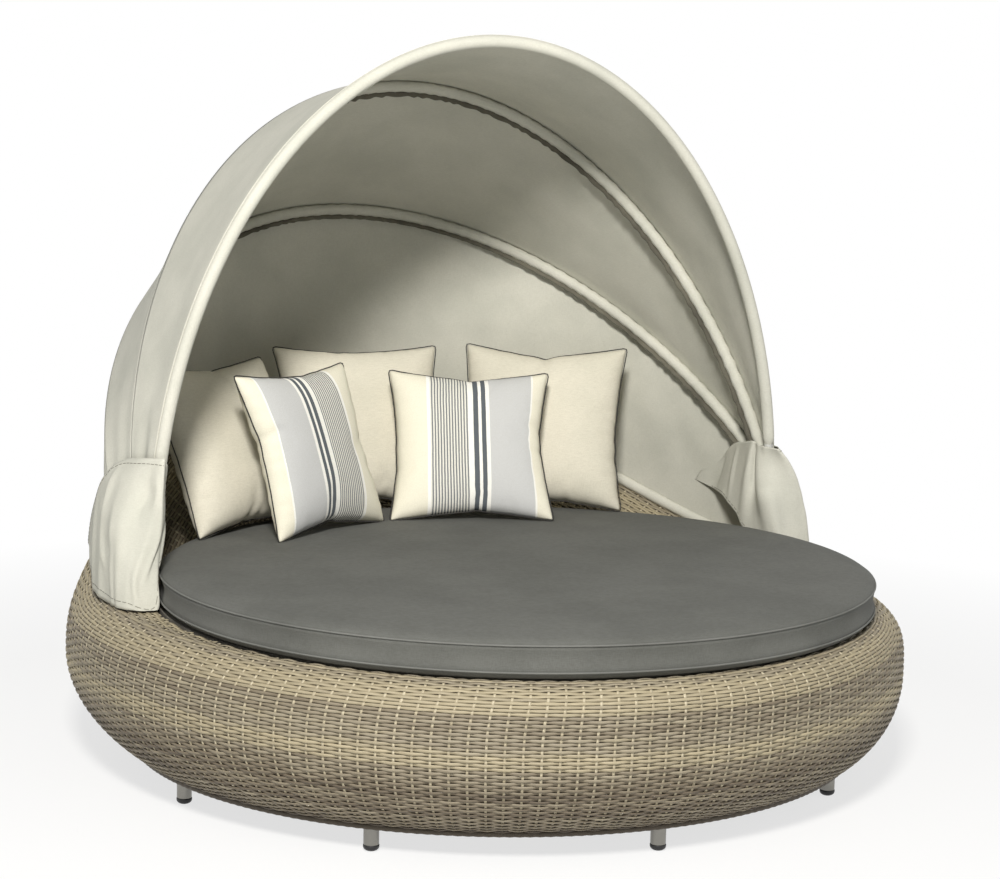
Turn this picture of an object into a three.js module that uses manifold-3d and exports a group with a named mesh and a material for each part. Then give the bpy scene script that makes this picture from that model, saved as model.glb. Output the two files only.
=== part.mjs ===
// Round outdoor daybed with a folding canopy, in millimetres.
// +Z is up and the open front faces -Y. The origin is on the floor, under the middle of the woven body.
import * as THREE from 'three';
import Module from 'manifold-3d';

const wasm = await Module();
wasm.setup();

// Clearances and material thicknesses
const seatGap = 0.3;
const skinThickness = 6;
const cutOverrun = 40;
const mergeStep = 0.0001;

// Mattress, which sets the seat
const mattressRadius = 880;
const mattressSetForward = 200;
const mattressThickness = 100;
const mattressEdgeRadius = 16;
const mattressWaist = 5;

// Woven body: four rings in plan round the mattress, and their heights
const deckHeight = 423;
const bellyDrop = 155;
const backRise = 414;
const ledgeWidth = 75;
const shoulderWidth = 92;
const shoulderFront = 43;
const shoulderRear = 34;
const backReach = 404;
const ledgeLap = 30;
const backGap = 60;
const rimRadius = 24;
const rimFrontInset = 5;
const undercutSide = 127;
const undercutFront = 128;
const undercutRear = 281;
const edgeHeight = 69;
const underTurn = THREE.MathUtils.degToRad(55);
const borderRadius = 8;
const borderGap = 4;
const borderDrop = 5;

// Shares that shape the rise of the rim and the section of the body
const riseStartShare = 97.5 / 180;
const wallLeanShare = 0.4;
const wallPullShare = 0.5;
const shoulderTurnShare = 0.64;
const backTurnShare = 0.93;
const shoulderPullShare = 0.45;
const bellyPullShare = 0.5;

// Frame inside the body
const baseRingRadius = 12;
const baseRingRise = 22;
const baseRingInset = 40;
const rimRailRadius = 14.5;
const deckRingRadius = 14;
const deckRingInset = 20;
const deckThickness = 12;
const deckSplitGap = 2;
const deckGap = 4;
const ribWidth = 22;
const ribThickness = 10;
const ribGap = 3;
const postWidth = 20;
const beamWidth = 40;
const beamDepth = 20;
const beamSpacing = 495;

// Legs
const legRadius = 17.5;
const legWall = 2;
const legBoreDepth = 30;
const glideHeight = 12;
const glideStem = 14;
const glideShoulder = 4;

// Canopy: hoops nested side by side on one bolt at each side
const pivotY = 26;
const pivotRise = 150;
const hoopRadius = 12;
const hoopSetIn = 18;
const frontHoopRise = 1222;
const secondHoopRise = 1240;
const thirdHoopRise = 1266;
const hoopTail = 16;
const hoopStraight = 20;
const washerSpace = 3;
const plateThickness = 6;
const plateHalfWidth = 28;
const footPlateThickness = 5;
const footPlateHalfDepth = 45;
const footPlateMargin = 12;
const footPlateReach = 38;
const boltRadius = 5;
const boltClearance = 0.3;
const boltHeadRadius = 9;
const boltHeadHeight = 5;
const washerRadius = 10;
const nutRadius = 8.5;
const nutHeight = 12;
const nutWall = 3;
const screwRadius = 3;
const screwHeadRadius = 6;
const screwHeadHeight = 3;
const screwSpacing = 60;
const padThickness = 5;
const frontHoopAngle = THREE.MathUtils.degToRad(93);
const secondHoopAngle = THREE.MathUtils.degToRad(64);
const thirdHoopAngle = THREE.MathUtils.degToRad(37);

// Rear rail that lies on the rim, and the studs that hold it
const railRadius = 10;
const railStartAngle = THREE.MathUtils.degToRad(97.5);
const studRise = 3.5;
const studRadius = 3;
const studHeadRadius = 6;
const studHeadHeight = 3;
const studCount = 5;

// Canvas
const clothThickness = 2.4;
const clothGap = 0.5;
const clothLowRadius = 120;
const clothSag = 14;
const clothFold = 7;
const clothFoldLength = 260;
const clothFoldCount = 2;
const skirtThickness = 2.4;
const skirtTopRise = 200;
const skirtTopOffset = 16;
const skirtTopDraw = 86;
const skirtFrontY = -28;
const skirtInset = 12;
const skirtStandOff = 9;
const skirtBulge = 56;
const skirtFold = 7;
const skirtFoldCount = 4;
const skirtRearAngle = THREE.MathUtils.degToRad(117);
const skirtRearRise = 36;
const skirtInnerGap = 14;
const skirtInnerLean = 10;

// Inner face of a skirt, column by column: distance back as a share of the mattress's radius, top height as
// a share of the skirt's rise above the deck, and hem height as a share of the mattress's thickness
const skirtInnerShares = [
  [0.534, 0.269, 0.67], [0.443, 0.391, 0.31], [0.352, 0.534, 0.17], [0.261, 0.677, 0.14],
  [0.182, 0.791, 0.13], [0.114, 0.891, 1.08], [0.055, 0.963, 1.08], [-0.002, 1.003, 1.08],
];

// Cushions
const bigCushionSize = 480;
const bigCushionThickness = 150;
const stripedCushionSize = 450;
const stripedCushionThickness = 125;
const cushionEdge = 14;
const cushionDrawShare = 0.07;

// Middle of each cushion's lower edge, to the side and back, as shares of the mattress's radius
const cushionPlaceShares = {
  back_cushion_right: [0.4489, 0.5682],
  back_cushion_middle: [-0.0614, 0.7295],
  back_cushion_left: [-0.5114, 0.4886],
  striped_cushion_centre: [0.1455, 0.3977],
  striped_cushion_left: [-0.3295, 0.3545],
};

// Turn about the upright and lean backwards of each cushion, in degrees
const cushionAngles = {
  back_cushion_right: [-32, 22],
  back_cushion_middle: [-8, 24],
  back_cushion_left: [30, 26],
  striped_cushion_centre: [-20, 30],
  striped_cushion_left: [30, 20],
};

// Places of the legs round the base, counted from the front
const legAngles = [0, 42.5, 80, 125, 180, 235, 280, 317.5].map(THREE.MathUtils.degToRad);

// Facets and counts
const roundSteps = 48;
const panelSteps = 5;
const skirtFrontColumns = 6;
const skirtSideColumns = 9;
const skirtSteps = 6;
const tubeSides = 8;
const hoopSteps = 24;
const legSides = 10;
const smallSides = 8;
const frameSides = 6;
const wallSteps = 3;
const arcSteps = 3;
const shoulderSteps = 3;
const underSteps = 3;
const cushionSteps = 8;
const ribCount = 12;

const finish = {
  wicker: { color: '#b3a68c', roughness: 0.6, metalness: 0 },
  frame: { color: '#8c8c8a', roughness: 0.5, metalness: 0.6 },
  board: { color: '#6d6a63', roughness: 0.8, metalness: 0 },
  steel: { color: '#c4c4c2', roughness: 0.3, metalness: 1 },
  glide: { color: '#1d1d1e', roughness: 0.5, metalness: 0 },
  hoop: { color: '#d8d8d4', roughness: 0.4, metalness: 0.4 },
  canvas: { color: '#d5d5c9', roughness: 0.9, metalness: 0 },
  mattress: { color: '#666763', roughness: 0.9, metalness: 0 },
  cushion: { color: '#dcd8c8', roughness: 0.9, metalness: 0 },
  striped: { color: '#efebd8', roughness: 0.9, metalness: 0 },
};

const daybed = new THREE.Group();

// Adds one named piece with its own material
function addPiece(name, geometry, kind) {
  const mesh = new THREE.Mesh(geometry, new THREE.MeshStandardMaterial(finish[kind]));
  mesh.name = name;
  daybed.add(mesh);
  return mesh;
}

// Points and faces as a mesh, turned so that its faces point outwards
function meshOf(points, faces) {
  const flat = new Float32Array(points.flatMap((p) => [p.x, p.y, p.z]));
  let volume = 0;
  for (const [a, b, c] of faces) {
    volume += points[a].dot(new THREE.Vector3().crossVectors(points[b], points[c]));
  }
  const index = faces.flatMap(([a, b, c]) => (volume < 0 ? [a, c, b] : [a, b, c]));
  const geometry = new THREE.BufferGeometry();
  geometry.setAttribute('position', new THREE.BufferAttribute(flat, 3));
  geometry.setIndex(index);
  geometry.computeVertexNormals();
  return geometry;
}

// Skins over a list of closed sections; the list itself is closed too, or has a lid at each end
function loft(sections, closed) {
  const count = sections[0].length;
  const points = sections.flat();
  const faces = [];
  const spans = closed ? sections.length : sections.length - 1;
  for (let i = 0; i < spans; i += 1) {
    const here = i * count;
    const next = ((i + 1) % sections.length) * count;
    for (let j = 0; j < count; j += 1) {
      const k = (j + 1) % count;
      faces.push([here + j, here + k, next + k], [here + j, next + k, next + j]);
    }
  }
  if (!closed) {
    const last = (sections.length - 1) * count;
    for (let j = 1; j < count - 1; j += 1) {
      faces.push([0, j + 1, j], [last, last + j, last + j + 1]);
    }
  }
  return meshOf(points, faces);
}

// The sections of a round or flat bar along a path; across gives the direction of its first axis
function barSections(path, outline, across, closed) {
  const last = path.length - 1;
  return path.map((point, i) => {
    const before = path[i > 0 ? i - 1 : closed ? last : 0];
    const after = path[i < last ? i + 1 : closed ? 0 : last];
    const along = after.clone().sub(before).normalize();
    const first = across(i).clone();
    first.addScaledVector(along, -first.dot(along)).normalize();
    const second = new THREE.Vector3().crossVectors(along, first);
    return outline.map(([a, b]) => point.clone().addScaledVector(first, a).addScaledVector(second, b));
  });
}

function roundOutline(radius, sides) {
  return Array.from({ length: sides }, (_, i) => {
    const angle = (i / sides) * Math.PI * 2;
    return [radius * Math.cos(angle), radius * Math.sin(angle)];
  });
}

function flatOutline(width, thickness) {
  const w = width / 2;
  const t = thickness / 2;
  return [[-w, -t], [w, -t], [w, t], [-w, t]];
}

const upward = () => new THREE.Vector3(0, 0, 1);

function tube(path, radius, closed, across = upward, sides = tubeSides) {
  return loft(barSections(path, roundOutline(radius, sides), across, closed), closed);
}

// The outward side of each point of a grid, from its neighbours
function gridNormals(grid, wrap) {
  const rows = grid.length;
  return grid.map((row, i) => row.map((point, j) => {
    const left = grid[wrap ? (i + rows - 1) % rows : Math.max(i - 1, 0)][j];
    const right = grid[wrap ? (i + 1) % rows : Math.min(i + 1, rows - 1)][j];
    const below = row[Math.max(j - 1, 0)];
    const above = row[Math.min(j + 1, row.length - 1)];
    const across = right.clone().sub(left);
    return new THREE.Vector3().crossVectors(across, above.clone().sub(below)).normalize();
  }));
}

// A sheet of even thickness through the middle of a grid, closed at its four edges
function sheet(grid, thickness) {
  const normals = gridNormals(grid, false);
  const sections = grid.map((row, i) => {
    const front = row.map((p, j) => p.clone().addScaledVector(normals[i][j], thickness / 2));
    const back = row.map((p, j) => p.clone().addScaledVector(normals[i][j], -thickness / 2));
    return [...front, ...back.reverse()];
  });
  const count = sections[0].length;
  const half = count / 2;
  const points = sections.flat();
  const faces = [];
  for (let i = 0; i < sections.length - 1; i += 1) {
    for (let j = 0; j < count; j += 1) {
      const k = (j + 1) % count;
      const here = i * count;
      const next = here + count;
      faces.push([here + j, here + k, next + k], [here + j, next + k, next + j]);
    }
  }
  const last = (sections.length - 1) * count;
  for (let j = 0; j < half - 1; j += 1) {
    const a = j;
    const b = j + 1;
    const c = count - 2 - j;
    const d = count - 1 - j;
    faces.push([a, c, b], [a, d, c], [last + a, last + b, last + c], [last + a, last + c, last + d]);
  }
  return meshOf(points, faces);
}

// A turned piece; the profile is [radius, height] pairs and starts and ends on the axis or closes
function turned(profile, sides) {
  const points = profile.map(([r, z]) => new THREE.Vector2(r, z));
  if (THREE.ShapeUtils.area(points) < 0) points.reverse();
  return new THREE.LatheGeometry(points, sides).rotateX(Math.PI / 2);
}

function solidOf(geometry) {
  const keys = new Map();
  const places = [];
  const position = geometry.getAttribute('position');
  const order = geometry.index ? Array.from(geometry.index.array) : [...Array(position.count).keys()];
  const merged = order.map((i) => {
    const values = [position.getX(i), position.getY(i), position.getZ(i)];
    const key = values.map((v) => Math.round(v / mergeStep)).join(' ');
    if (!keys.has(key)) {
      keys.set(key, places.length / 3);
      places.push(...values);
    }
    return keys.get(key);
  });
  const triangles = [];
  for (let i = 0; i < merged.length; i += 3) {
    const [a, b, c] = merged.slice(i, i + 3);
    if (a !== b && b !== c && c !== a) triangles.push(a, b, c);
  }
  return new wasm.Manifold(new wasm.Mesh({
    numProp: 3,
    vertProperties: new Float32Array(places),
    triVerts: new Uint32Array(triangles),
  }));
}

function geometryOf(solid) {
  const { vertProperties, triVerts, numProp } = solid.getMesh();
  const geometry = new THREE.BufferGeometry();
  const count = vertProperties.length / numProp;
  const flat = new Float32Array(count * 3);
  for (let i = 0; i < count; i += 1) {
    for (let k = 0; k < 3; k += 1) flat[i * 3 + k] = vertProperties[i * numProp + k];
  }
  geometry.setAttribute('position', new THREE.BufferAttribute(flat, 3));
  geometry.setIndex(Array.from(triVerts));
  geometry.computeVertexNormals();
  return geometry;
}

function joined(geometries) {
  return geometries.map(solidOf).reduce((whole, part) => whole.add(part));
}

function cut(solid, tools) {
  return tools.map(solidOf).reduce((left, tool) => left.subtract(tool), solid);
}

function boxAt(lowX, highX, lowY, highY, lowZ, highZ) {
  const box = new THREE.BoxGeometry(highX - lowX, highY - lowY, highZ - lowZ);
  return box.translate((lowX + highX) / 2, (lowY + highY) / 2, (lowZ + highZ) / 2);
}

// A round bar between two heights at a place in plan
function pegAt(x, y, lowZ, highZ, radius) {
  const peg = new THREE.CylinderGeometry(radius, radius, highZ - lowZ, smallSides);
  return peg.rotateX(Math.PI / 2).translate(x, y, (lowZ + highZ) / 2);
}

// A round bar along X on the canopy's pivot line
function pinAlongX(lowX, highX, radius) {
  const pin = new THREE.CylinderGeometry(radius, radius, highX - lowX, legSides);
  return pin.rotateZ(Math.PI / 2).translate((lowX + highX) / 2, pivotY, pivotHeight);
}

// Rings in plan; the angle is counted from the front, so the rear is at half a turn
const frontY = -mattressSetForward - mattressRadius;
const rearY = mattressRadius - mattressSetForward;

function ringBetween(halfWidth, front, rear) {
  return { halfWidth, halfDepth: (rear - front) / 2, centreY: (rear + front) / 2 };
}

const crestHalfWidth = mattressRadius + ledgeWidth;
const bellyHalfWidth = crestHalfWidth + shoulderWidth;
const bellyFrontY = frontY + rimFrontInset - shoulderFront;
const bellyRearY = rearY + backReach + shoulderRear;
const bellyRing = ringBetween(bellyHalfWidth, bellyFrontY, bellyRearY);
const crestRing = ringBetween(crestHalfWidth, frontY + rimFrontInset, rearY + backReach);
const footRing = ringBetween(mattressRadius, frontY + ledgeLap, rearY + backGap);
const edgeRing = ringBetween(
  bellyHalfWidth - undercutSide,
  bellyFrontY + undercutFront,
  bellyRearY - undercutRear,
);
const bellyHeight = deckHeight - bellyDrop;
const rimRearHeight = deckHeight + backRise;
const pivotHeight = deckHeight + pivotRise;
const frontHoopHalfWidth = mattressRadius - hoopSetIn;

function inset(ring, by) {
  return { halfWidth: ring.halfWidth - by, halfDepth: ring.halfDepth - by, centreY: ring.centreY };
}

const baseRing = inset(edgeRing, baseRingInset);
const deckRing = inset(footRing, deckRingInset);
const baseRingHeight = edgeHeight + baseRingRise;
const deckRingHeight = deckHeight - deckThickness - seatGap - deckRingRadius;

function onRing(ring, angle, height) {
  const x = ring.halfWidth * Math.sin(angle);
  return new THREE.Vector3(x, ring.centreY - ring.halfDepth * Math.cos(angle), height);
}

function outwardOn(ring, angle) {
  const [x, y] = [Math.sin(angle) / ring.halfWidth, -Math.cos(angle) / ring.halfDepth];
  return new THREE.Vector3(x, y, 0).normalize();
}

// Where the line square to the crest meets a ring inside it
function squareOn(ring, angle, height) {
  const crest = onRing(crestRing, angle, height);
  const out = outwardOn(crestRing, angle);
  const [px, py] = [crest.x / ring.halfWidth, (crest.y - ring.centreY) / ring.halfDepth];
  const [dx, dy] = [out.x / ring.halfWidth, out.y / ring.halfDepth];
  const square = dx * dx + dy * dy;
  const along = px * dx + py * dy;
  const reach = (along - Math.sqrt(along * along - square * (px * px + py * py - 1))) / square;
  return crest.addScaledVector(out, -reach);
}

function eased(share) {
  const s = Math.min(Math.max(share, 0), 1);
  return s * s * (3 - 2 * s);
}

// How far the rim has risen towards the back: nothing at the front and sides, whole at the rear
function riseShare(angle) {
  const turn = Math.abs(Math.atan2(Math.sin(angle), Math.cos(angle))) / Math.PI;
  return eased((turn - riseStartShare) / (1 - riseStartShare));
}

function rimHeight(angle) {
  return deckHeight + (rimRearHeight - deckHeight) * riseShare(angle);
}

function between(low, high, share) {
  return low + (high - low) * share;
}

function bezier(points, count, skipFirst) {
  const curve = points.length === 3
    ? new THREE.QuadraticBezierCurve3(...points)
    : new THREE.CubicBezierCurve3(...points);
  const made = curve.getPoints(count);
  return skipFirst ? made.slice(1) : made;
}

// Outer face of the body at one angle: ledge or back wall, rim, shoulder, belly and underside
function bodySection(angle) {
  const risen = Math.sqrt(riseShare(angle));
  const out = outwardOn(crestRing, angle);
  const centre = onRing(crestRing, angle, rimHeight(angle) - rimRadius);
  const onRim = (turn) => centre.clone()
    .addScaledVector(out, -rimRadius * Math.cos(turn))
    .add(new THREE.Vector3(0, 0, rimRadius * Math.sin(turn)));
  const alongRim = (turn) => out.clone().multiplyScalar(Math.sin(turn))
    .add(new THREE.Vector3(0, 0, Math.cos(turn)));
  const startTurn = (Math.PI / 2) * between(1, wallLeanShare, risen);
  const endTurn = Math.PI * between(shoulderTurnShare, backTurnShare, risen);
  const foot = squareOn(footRing, angle, deckHeight);
  const start = onRim(startTurn);
  const pull = Math.abs(start.clone().sub(foot).dot(alongRim(startTurn))) * wallPullShare;
  const lean = start.clone().addScaledVector(alongRim(startTurn), -pull);
  const wall = bezier([foot, lean, start], wallSteps, false);
  const rim = [];
  for (let i = 1; i <= arcSteps; i += 1) rim.push(onRim(between(startTurn, endTurn, i / arcSteps)));
  const end = onRim(endTurn);
  const belly = onRing(bellyRing, angle, bellyHeight);
  const reach = end.distanceTo(belly);
  const shoulder = bezier([
    end,
    end.clone().addScaledVector(alongRim(endTurn), reach * shoulderPullShare * (1 - risen / 2)),
    belly.clone().add(new THREE.Vector3(0, 0, reach * bellyPullShare)),
    belly,
  ], shoulderSteps, true);
  const edge = onRing(edgeRing, angle, edgeHeight);
  const under = [];
  for (let i = 1; i <= underSteps; i += 1) {
    const turn = (i / underSteps) * underTurn;
    const inwards = (1 - Math.cos(turn)) / (1 - Math.cos(underTurn));
    under.push(new THREE.Vector3(
      between(belly.x, edge.x, inwards),
      between(belly.y, edge.y, inwards),
      between(belly.z, edge.z, Math.sin(turn) / Math.sin(underTurn)),
    ));
  }
  return [...wall, ...rim, ...shoulder, ...under];
}

const roundAngles = Array.from({ length: roundSteps }, (_, i) => (i / roundSteps) * Math.PI * 2);

// Woven body: a thin wall lofted round the seat, rising from a ledge at the front to a backrest behind
function bodySkin(depth) {
  const grid = roundAngles.map(bodySection);
  const normals = gridNormals(grid, true);
  const facing = normals[0][wallSteps].z < 0 ? 1 : -1;
  return grid.map((row, i) => row.map((p, j) => p.clone().addScaledVector(normals[i][j], facing * depth)));
}

// Points of the outer face at one angle, moved inwards along its own slope, or outwards by a depth below zero
function bodyOffset(angle, depth) {
  const step = Math.PI / roundSteps;
  const grid = [angle - step, angle, angle + step].map(bodySection);
  const normals = gridNormals(grid, false)[1];
  const facing = normals[wallSteps].z < 0 ? 1 : -1;
  return grid[1].map((p, j) => p.clone().addScaledVector(normals[j], facing * depth));
}

function ledgeHoles(side, radius) {
  const [low, high] = [deckHeight - cutOverrun, deckHeight + cutOverrun];
  return screwPlaces(side).map(([x, y]) => pegAt(x, y, low, high, radius));
}

const secondHoopHalfWidth = frontHoopHalfWidth + hoopRadius * 2 + washerSpace;
const plateX = secondHoopHalfWidth + hoopRadius + washerSpace + plateThickness / 2;
const thirdHoopHalfWidth = plateX + plateThickness / 2 + washerSpace + hoopRadius;

function screwPlaces(side) {
  const x = side * (plateX + footPlateReach / 2 + plateThickness / 2);
  return [[x, pivotY - screwSpacing / 2], [x, pivotY + screwSpacing / 2]];
}

const studAngles = Array.from({ length: studCount }, (_, i) => {
  const share = (i + 1 / 2) / studCount;
  return between(railStartAngle, Math.PI * 2 - railStartAngle, share);
});
const railLift = seatGap + railRadius;

function studHoles(radius) {
  return studAngles.map((angle) => {
    const p = onRing(crestRing, angle, rimHeight(angle));
    return pegAt(p.x, p.y, p.z - cutOverrun, p.z + cutOverrun, radius);
  });
}

function buildBody() {
  const outer = bodySkin(0);
  const inner = bodySkin(skinThickness);
  const shell = loft(outer.map((row, i) => [...row, ...inner[i].slice().reverse()]), true);
  const holeRadius = screwRadius + boltClearance;
  const holes = [
    ...ledgeHoles(-1, holeRadius),
    ...ledgeHoles(1, holeRadius),
    ...studHoles(studRadius + boltClearance),
  ];
  addPiece('woven_shell', geometryOf(cut(solidOf(shell), holes)), 'wicker');
  const inside = borderRadius + borderGap;
  const borderPath = roundAngles.map((a) => onRing(inset(edgeRing, inside), a, edgeHeight - borderDrop));
  addPiece('woven_border', tube(borderPath, borderRadius, true, upward, frameSides), 'wicker');
}

// Welded frames: the basket frame under the weave, and the deck frame that carries the boards
function ribAt(angle) {
  const path = bodyOffset(angle, skinThickness + ribGap + ribThickness / 2).slice(wallSteps + arcSteps + 1);
  path.unshift(onRing(crestRing, angle, rimHeight(angle) - rimRadius));
  path.push(onRing(baseRing, angle, baseRingHeight));
  const across = new THREE.Vector3().crossVectors(upward(), outwardOn(crestRing, angle));
  return loft(barSections(path, flatOutline(ribWidth, ribThickness), () => across, false), false);
}

function padAt(side) {
  const high = deckHeight - skinThickness - seatGap * 2;
  const near = footRing.halfWidth;
  const far = crestHalfWidth;
  const low = Math.min(side * near, side * far);
  const [front, rear] = [pivotY - footPlateHalfDepth, pivotY + footPlateHalfDepth];
  return boxAt(low, low + far - near, front, rear, high - padThickness, high);
}

function buildFrames() {
  const basePath = roundAngles.map((a) => onRing(baseRing, a, baseRingHeight));
  const rimPath = roundAngles.map((a) => onRing(crestRing, a, rimHeight(a) - rimRadius));
  const ribs = Array.from({ length: ribCount }, (_, i) => ribAt(((i + 3 / 4) / ribCount) * Math.PI * 2));
  const basket = joined([
    tube(basePath, baseRingRadius, true, upward, frameSides),
    tube(rimPath, rimRailRadius, true, upward, frameSides),
    ...ribs,
    padAt(-1),
    padAt(1),
  ]);
  const screwHole = screwRadius + boltClearance;
  const holes = [
    ...ledgeHoles(-1, screwHole),
    ...ledgeHoles(1, screwHole),
    ...studHoles(studRadius + boltClearance),
  ];
  addPiece('basket_frame', geometryOf(cut(basket, holes)), 'frame');

  const deckPath = roundAngles.map((a) => onRing(deckRing, a, deckRingHeight));
  const parts = [tube(deckPath, deckRingRadius, true, upward, frameSides)];
  for (const angle of legAngles) {
    const out = outwardOn(deckRing, angle);
    const square = new THREE.Vector3().crossVectors(upward(), out);
    const ends = [
      onRing(baseRing, angle, baseRingHeight + baseRingRadius + seatGap),
      onRing(deckRing, angle, deckRingHeight),
    ];
    parts.push(loft(ends.map((p) => flatOutline(postWidth, postWidth)
      .map(([a, b]) => p.clone().addScaledVector(out, a).addScaledVector(square, b))), false));
  }
  for (const row of [-1, 0, 1]) {
    const y = deckRing.centreY + row * beamSpacing;
    const reach = deckRing.halfWidth * Math.sqrt(1 - ((y - deckRing.centreY) / deckRing.halfDepth) ** 2);
    const high = deckHeight - deckThickness - seatGap;
    parts.push(boxAt(-reach, reach, y - beamWidth / 2, y + beamWidth / 2, high - beamDepth, high));
  }
  addPiece('deck_frame', geometryOf(joined(parts)), 'frame');
}

// Two boards that meet over the middle beam and carry the mattress
function buildDeck() {
  const points = roundAngles.map((angle) => {
    const out = outwardOn(crestRing, angle);
    return squareOn(footRing, angle, 0).addScaledVector(out, -deckGap);
  });
  const disc = new THREE.ExtrudeGeometry(new THREE.Shape(points.map((p) => new THREE.Vector2(p.x, p.y))), {
    depth: deckThickness,
    bevelEnabled: false,
  }).translate(0, 0, deckHeight - deckThickness);
  const reach = mattressRadius * 2;
  const middle = deckRing.centreY;
  for (const [name, low, high] of [
    ['deck_board_front', middle - reach, middle - deckSplitGap / 2],
    ['deck_board_rear', middle + deckSplitGap / 2, middle + reach],
  ]) {
    const side = boxAt(-reach, reach, low, high, 0, deckHeight + cutOverrun);
    addPiece(name, geometryOf(solidOf(disc).intersect(solidOf(side))), 'board');
  }
}

// Eight short tube legs with domed glides
function buildLegs() {
  const legTop = baseRingHeight - baseRingRadius - seatGap;
  const bore = legRadius - legWall;
  const stem = bore - seatGap;
  const leg = [
    [0, legTop], [legRadius, legTop], [legRadius, glideHeight + seatGap],
    [bore, glideHeight + seatGap], [bore, glideHeight + legBoreDepth], [0, glideHeight + legBoreDepth],
  ];
  const rounding = glideHeight - glideShoulder;
  const glide = [
    [0, glideHeight + glideStem], [stem, glideHeight + glideStem], [stem, glideHeight],
    [legRadius, glideHeight], [legRadius, rounding],
    [legRadius * Math.SQRT1_2, rounding * (1 - Math.SQRT1_2)], [legRadius / 2, 0], [0, 0],
  ];
  legAngles.forEach((angle, i) => {
    const place = onRing(baseRing, angle, 0);
    addPiece(`leg_${i + 1}`, turned(leg, legSides).translate(place.x, place.y, 0), 'steel');
    addPiece(`leg_glide_${i + 1}`, turned(glide, legSides).translate(place.x, place.y, 0), 'glide');
  });
}

// Canopy hoops: half ellipses in planes through the pivot line, nested side by side on the bolts
function hoopPoint(halfWidth, rise, plane, turn) {
  const radius = rise * Math.sin(turn);
  return new THREE.Vector3(
    halfWidth * Math.cos(turn),
    pivotY + radius * Math.cos(plane),
    pivotHeight + radius * Math.sin(plane),
  );
}

const hoops = {
  front_hoop: [frontHoopHalfWidth, frontHoopRise, frontHoopAngle],
  second_hoop: [secondHoopHalfWidth, secondHoopRise, secondHoopAngle],
  third_hoop: [thirdHoopHalfWidth, thirdHoopRise, thirdHoopAngle],
};

function buildHoops() {
  for (const [name, [halfWidth, rise, plane]] of Object.entries(hoops)) {
    const along = new THREE.Vector3(0, Math.cos(plane), Math.sin(plane));
    const square = new THREE.Vector3(0, -Math.sin(plane), Math.cos(plane));
    const path = [];
    for (let i = 1; i < hoopSteps; i += 1) {
      path.push(hoopPoint(halfWidth, rise, plane, (i / hoopSteps) * Math.PI));
    }
    const ends = [0, Math.PI].map((turn) => hoopPoint(halfWidth, rise, plane, turn));
    path.unshift(...[-hoopTail, hoopStraight].map((by) => ends[0].clone().addScaledVector(along, by)));
    path.push(...[hoopStraight, -hoopTail].map((by) => ends[1].clone().addScaledVector(along, by)));
    const bar = solidOf(tube(path, hoopRadius, false, () => square));
    const holes = [-1, 1].map((side) => {
      const reach = hoopRadius + cutOverrun / 2;
      return pinAlongX(side * halfWidth - reach, side * halfWidth + reach, boltRadius + boltClearance);
    });
    addPiece(name, geometryOf(cut(bar, holes)), 'hoop');
  }
}

// Brackets, bolts, washers and nuts at the two pivots
function ringOnPivot(lowX, highX, hole, radius) {
  const half = (highX - lowX) / 2;
  const profile = [[hole, -half], [radius, -half], [radius, half], [hole, half], [hole, -half]];
  const washer = turned(profile, legSides);
  return washer.rotateY(Math.PI / 2).translate((lowX + highX) / 2, pivotY, pivotHeight);
}

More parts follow.
